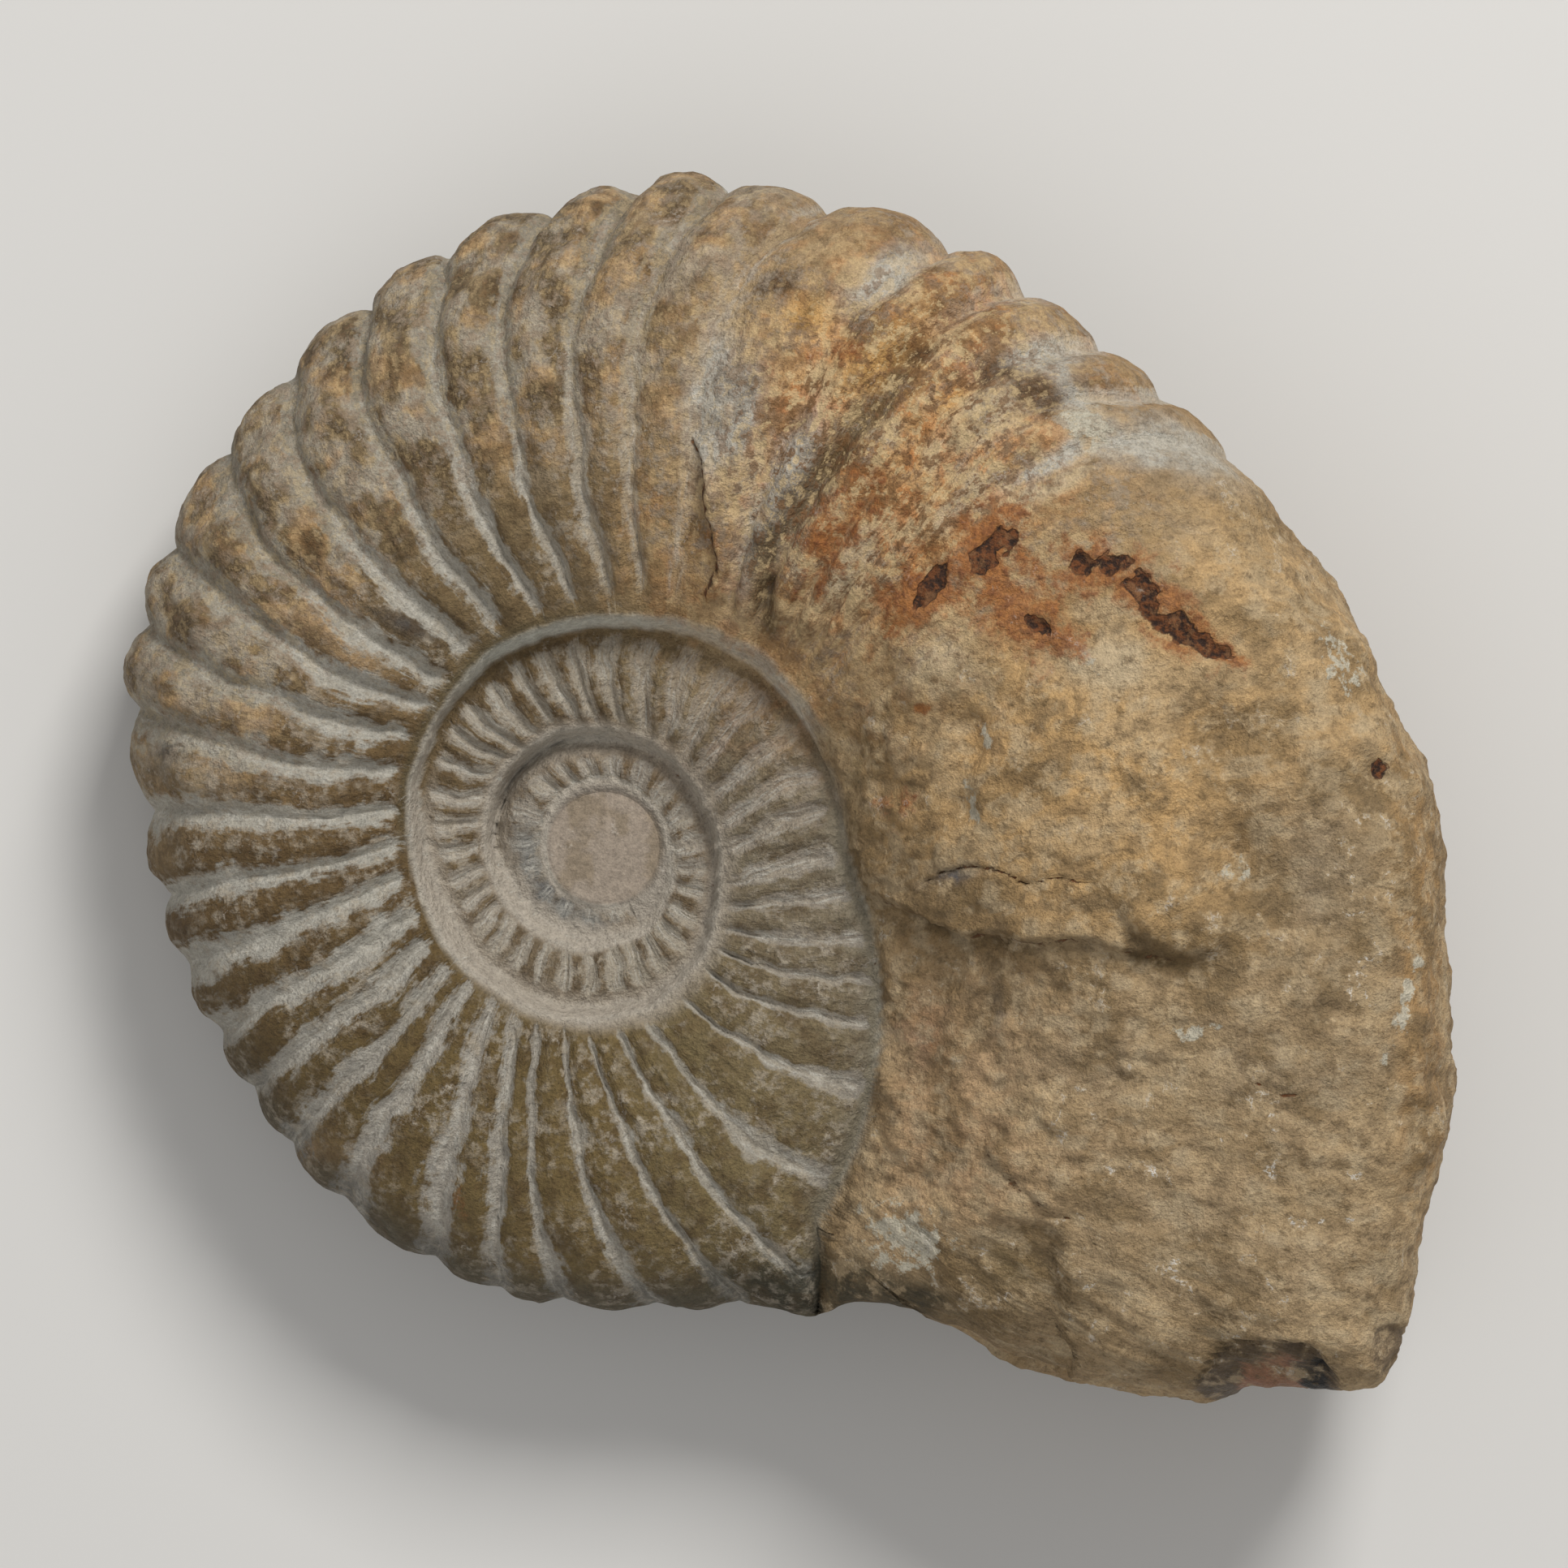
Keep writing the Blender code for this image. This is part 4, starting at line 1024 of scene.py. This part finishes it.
def plug_in(tree, socket, value):
    """Connect a socket to another node's output, or give it a plain value."""
    if isinstance(value, bpy.types.NodeSocket):
        tree.links.new(value, socket)
    else:
        socket.default_value = value


def stored(tree, name, kind="Fac"):
    """A mask or colour that the mesh carries."""
    return node(tree, "ShaderNodeAttribute", attribute_name=name).outputs[kind]


def grain(tree, where, size, detail=4.0, roughness=0.55, distortion=0.0):
    """Noise from 0 to 1 with features of the given size in millimetres."""
    made = node(tree, "ShaderNodeTexNoise")
    tree.links.new(where, made.inputs["Vector"])
    made.inputs["Scale"].default_value = 1 / (size * MM)
    made.inputs["Detail"].default_value = detail
    made.inputs["Roughness"].default_value = roughness
    made.inputs["Distortion"].default_value = distortion
    return made.outputs["Fac"]


def cut(tree, value, low, high, bottom=0.0, top=1.0):
    """Soft-edged mask: bottom below the low value, top above the high one."""
    made = node(tree, "ShaderNodeMapRange", interpolation_type="SMOOTHSTEP")
    plug_in(tree, made.inputs["Value"], value)
    for name, number in (("From Min", low), ("From Max", high), ("To Min", bottom), ("To Max", top)):
        made.inputs[name].default_value = number
    return made.outputs["Result"]


def sum_up(tree, operation, first, second, third=None):
    """One step of arithmetic on masks."""
    made = node(tree, "ShaderNodeMath", operation=operation)
    plug_in(tree, made.inputs[0], first)
    plug_in(tree, made.inputs[1], second)
    if third is not None:
        plug_in(tree, made.inputs[2], third)
    return made.outputs["Value"]


def blend(tree, factor, below, above, mode="MIX"):
    """One colour over another, by a factor."""
    made = node(tree, "ShaderNodeMix", data_type="RGBA", blend_type=mode)
    plug_in(tree, made.inputs[0], factor)
    plug_in(tree, made.inputs[6], below if not isinstance(below, tuple) else (*linear(below), 1))
    plug_in(tree, made.inputs[7], above if not isinstance(above, tuple) else (*linear(above), 1))
    return made.outputs[2]


# %% The limestone
def limestone():
    """Weathered fossil limestone, from the masks that the mesh carries."""
    material = bpy.data.materials.new("fossil_limestone")
    material.use_nodes = True
    tree = material.node_tree
    shader = tree.nodes["Principled BSDF"]
    place = node(tree, "ShaderNodeTexCoord").outputs["Object"]
    rib_mask, ribbed, block_mask = stored(tree, "rib"), stored(tree, "ribbed"), stored(tree, "block")
    run = node(tree, "ShaderNodeVectorMath", operation="SCALE")
    tree.links.new(stored(tree, "flow", "Vector"), run.inputs[0])
    run.inputs["Scale"].default_value = MM

    broad = grain(tree, place, 9.0, 5.0, 0.6)
    patchy = grain(tree, place, 3.2, 6.0, 0.64)
    fine = grain(tree, place, 0.9, 5.0, 0.6)
    sandy = grain(tree, place, 0.28, 3.0, 0.6)
    streak = grain(tree, run.outputs["Vector"], 0.55, 5.0, 0.6, 0.2)

    ragged_edge = sum_up(tree, "MULTIPLY_ADD", patchy, 1.2, rib_mask)
    ragged_edge = sum_up(tree, "MULTIPLY_ADD", streak, 1.1, ragged_edge)
    ragged_edge = sum_up(tree, "MULTIPLY_ADD", fine, 0.6, ragged_edge)
    on_rib = cut(tree, ragged_edge, 1.72, 2.10)
    colour = blend(tree, on_rib, stored(tree, "furrow_tone", "Color"), stored(tree, "rib_tone", "Color"))

    spots = grain(tree, place, 1.7, 6.0, 0.68)
    patina = sum_up(tree, "MULTIPLY", cut(tree, patchy, 0.42, 0.68, 0.0, 0.62), ribbed)
    patina = sum_up(tree, "MULTIPLY", patina, on_rib)
    colour = blend(tree, patina, colour, (0.31, 0.235, 0.135))
    worn = sum_up(tree, "MULTIPLY", cut(tree, spots, 0.46, 0.64, 0.0, 0.8), cut(tree, broad, 0.38, 0.58))
    worn = sum_up(tree, "MULTIPLY", worn, ribbed)
    colour = blend(tree, worn, colour, (0.63, 0.585, 0.51))
    chalk = sum_up(tree, "MULTIPLY", cut(tree, streak, 0.44, 0.68, 0.0, 0.7), ribbed)
    chalk = sum_up(tree, "MULTIPLY", chalk, sum_up(tree, "SUBTRACT", 1.0, on_rib))
    chalk = sum_up(tree, "MULTIPLY", chalk, sum_up(tree, "SUBTRACT", 1.0, stored(tree, "warm")))
    colour = blend(tree, chalk, colour, (0.75, 0.73, 0.68))
    blotch = sum_up(tree, "MULTIPLY", cut(tree, broad, 0.44, 0.64, 0.0, 0.4), block_mask)
    colour = blend(tree, blotch, colour, (0.50, 0.41, 0.275))
    glow = sum_up(tree, "MULTIPLY", cut(tree, patchy, 0.50, 0.64, 0.0, 0.62), block_mask)
    colour = blend(tree, glow, colour, (0.71, 0.62, 0.48))
    dirt = sum_up(tree, "MULTIPLY", cut(tree, spots, 0.53, 0.64, 0.0, 0.5), block_mask)
    colour = blend(tree, dirt, colour, (0.40, 0.32, 0.205))
    crust = sum_up(tree, "MULTIPLY_ADD", spots, 1.5, stored(tree, "pale"))
    crust = sum_up(tree, "MULTIPLY_ADD", patchy, 1.3, crust)
    crusted = cut(tree, stored(tree, "pale"), 0.05, 0.4, 0.0, 0.88)
    crust = sum_up(tree, "MULTIPLY", cut(tree, crust, 1.86, 2.04), crusted)
    colour = blend(tree, crust, colour, (0.73, 0.70, 0.62))

    warm = stored(tree, "warm")
    along_ribs = sum_up(tree, "MULTIPLY_ADD", spots, 0.7, sum_up(tree, "MULTIPLY", streak, 0.3))
    earthy = sum_up(tree, "MULTIPLY", cut(tree, along_ribs, 0.515, 0.565, 0.0, 0.8), warm)
    colour = blend(tree, earthy, colour, (0.46, 0.325, 0.185))
    creamy = sum_up(tree, "MULTIPLY", cut(tree, along_ribs, 0.485, 0.435, 0.0, 0.75), warm)
    colour = blend(tree, creamy, colour, (0.76, 0.66, 0.49))
    iron = sum_up(tree, "MULTIPLY_ADD", patchy, 2.0, stored(tree, "rust"))
    iron = sum_up(tree, "MULTIPLY_ADD", fine, 0.7, iron)
    iron = sum_up(tree, "MULTIPLY", cut(tree, iron, 1.66, 2.1), cut(tree, stored(tree, "rust"), 0.02, 0.2))
    iron_colour = blend(tree, cut(tree, fine, 0.38, 0.64), (0.67, 0.43, 0.22), (0.45, 0.26, 0.13))
    colour = blend(tree, sum_up(tree, "MULTIPLY", iron, 0.85), colour, iron_colour)

    ragged_pit = sum_up(tree, "MULTIPLY_ADD", fine, 0.8, stored(tree, "dark"))
    ragged_pit = sum_up(tree, "MULTIPLY_ADD", spots, 1.0, ragged_pit)
    pit_mask = cut(tree, ragged_pit, 1.28, 1.5)
    pit_colour = blend(tree, cut(tree, fine, 0.42, 0.60), (0.21, 0.14, 0.10), (0.42, 0.25, 0.13))
    pit_colour = blend(tree, cut(tree, spots, 0.52, 0.60, 0.0, 0.75), pit_colour, (0.47, 0.33, 0.21))
    colour = blend(tree, pit_mask, colour, pit_colour)
    strokes = grain(tree, place, 2.6, 4.0, 0.6)
    off_line = sum_up(tree, "ABSOLUTE", sum_up(tree, "SUBTRACT", strokes, 0.5), 0.0)
    calcite = sum_up(tree, "MULTIPLY", cut(tree, off_line, 0.030, 0.010), cut(tree, patchy, 0.56, 0.63))
    calcite = sum_up(tree, "MULTIPLY", calcite, cut(tree, broad, 0.46, 0.56))
    calcite = sum_up(tree, "MULTIPLY", calcite, stored(tree, "fleck"))
    colour = blend(tree, calcite, colour, (0.80, 0.77, 0.72))
    speck = sum_up(tree, "MULTIPLY", cut(tree, sandy, 0.66, 0.72), 0.45)
    colour = blend(tree, speck, colour, (0.22, 0.19, 0.15))
    shade = sum_up(tree, "MULTIPLY_ADD", fine, 1.0, 0.0)
    shade = sum_up(tree, "MULTIPLY_ADD", sandy, 1.1, shade)
    value = node(tree, "ShaderNodeHueSaturation")
    value.inputs["Saturation"].default_value = 1.0
    tree.links.new(colour, value.inputs["Color"])
    tree.links.new(shade, value.inputs["Value"])
    tree.links.new(value.outputs["Color"], shader.inputs["Base Color"])

    polish = sum_up(tree, "MULTIPLY_ADD", fine, -0.22, 0.95)
    polish = sum_up(tree, "SUBTRACT", polish, sum_up(tree, "MULTIPLY", stored(tree, "flint"), 0.35))
    polish = sum_up(tree, "SUBTRACT", polish, sum_up(tree, "MULTIPLY", calcite, 0.35))
    tree.links.new(polish, shader.inputs["Roughness"])
    shader.inputs["Specular IOR Level"].default_value = 0.35

    relief_height = sum_up(tree, "MULTIPLY_ADD", spots, 0.44, sum_up(tree, "MULTIPLY", fine, 0.50))
    relief_height = sum_up(tree, "MULTIPLY_ADD", pit_mask, -0.35, relief_height)
    relief_height = sum_up(tree, "MULTIPLY_ADD", sandy, 0.16, relief_height)
    on_ribs = sum_up(tree, "MULTIPLY", streak, ribbed)
    relief_height = sum_up(tree, "MULTIPLY_ADD", on_ribs, 0.25, relief_height)
    calm = sum_up(tree, "MULTIPLY_ADD", stored(tree, "smooth"), -0.7, 1.0)
    relief_height = sum_up(tree, "MULTIPLY", relief_height, calm)
    bump = node(tree, "ShaderNodeBump")
    bump.inputs["Strength"].default_value = 1.0
    bump.inputs["Distance"].default_value = 1.5 * MM
    tree.links.new(relief_height, bump.inputs["Height"])
    tree.links.new(bump.outputs["Normal"], shader.inputs["Normal"])
    return material


mesh.materials.append(limestone())
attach(fossil, "root")
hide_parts("ammonite_fossil")
print("limestone nodes:", len(mesh.materials[0].node_tree.nodes))

# %% [markdown]
# ## Floor, light and camera
#
# The fossil lies on a plain pale floor.  A broad soft light leans in from beyond the top of the shell, so
# that every furrow has a lit wall and a shaded one, and a pale surrounding light fills the shadows.  The
# camera looks straight down.

# %% Floor
FLOOR_SIZE = 6.0


def plain_floor():
    """A pale matt floor under the fossil."""
    sheet = bpy.data.meshes.new("floor")
    half = FLOOR_SIZE / 2
    corners = [(-half, -half, 0), (half, -half, 0), (half, half, 0), (-half, half, 0)]
    sheet.from_pydata(corners, [], [(0, 1, 2, 3)])
    floor = bpy.data.objects.new("floor", sheet)
    bpy.context.scene.collection.objects.link(floor)
    paper = bpy.data.materials.new("pale_floor")
    paper.use_nodes = True
    shader = paper.node_tree.nodes["Principled BSDF"]
    shader.inputs["Base Color"].default_value = (*linear((0.80, 0.79, 0.77)), 1)
    shader.inputs["Roughness"].default_value = 0.9
    sheet.materials.append(paper)
    floor.location.z = CAD_LOW[2]
    floor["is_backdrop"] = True
    return floor


plain_floor()

# %% Lights
TARGET = Vector(((CAD_LOW + CAD_HIGH) / 2).tolist())


def soft_light(name, azimuth, elevation, distance, size, watts, colour=(1, 1, 1)):
    """A square soft light that looks at the middle of the fossil."""
    lamp = bpy.data.lights.new(name, "AREA")
    lamp.size = size
    lamp.energy = watts
    lamp.color = colour
    holder = bpy.data.objects.new(name, lamp)
    flat = math.cos(math.radians(elevation)) * distance
    turn = math.radians(azimuth)
    holder.location = TARGET + Vector((flat * math.cos(turn), flat * math.sin(turn), 0))
    holder.location.z += math.sin(math.radians(elevation)) * distance
    holder.rotation_euler = (TARGET - holder.location).to_track_quat("-Z", "Y").to_euler()
    bpy.context.scene.collection.objects.link(holder)


soft_light("key_light", 66, 45, 1.6, 0.55, 22.5)
soft_light("fill_light", 250, 60, 1.8, 1.4, 4.0)

world = bpy.data.worlds.new("pale_room")
world.use_nodes = True
world.node_tree.nodes["Background"].inputs["Color"].default_value = (0.96, 0.97, 1.0, 1)
world.node_tree.nodes["Background"].inputs["Strength"].default_value = 0.45
bpy.context.scene.world = world
bpy.context.scene.view_settings.view_transform = "Standard"

# %% Camera
CAMERA_DISTANCE = 1.2
FRAME_TO_LENGTH = 1.1738
MID_LEVEL = 0.42
FRAME_MIDDLE = (0.1, 0.15)

camera = bpy.data.cameras.new("camera")
camera.sensor_width = 36
frame_width = FRAME_TO_LENGTH * (CAD_HIGH[0] - CAD_LOW[0])
camera.lens = camera.sensor_width * CAMERA_DISTANCE / frame_width
camera.clip_end = 20
holder = bpy.data.objects.new("camera", camera)
look_at = CAD_LOW[:2] + (np.array(FRAME_MIDDLE) - low[:2]) * fit[:2] * MM
level = CAD_LOW[2] + MID_LEVEL * (CAD_HIGH[2] - CAD_LOW[2])
holder.location = (*look_at, level + CAMERA_DISTANCE)
bpy.context.scene.collection.objects.link(holder)
bpy.context.scene.camera = holder
print("lens", round(camera.lens, 1), "mm, frame", round(frame_width / MM, 1), "mm wide")
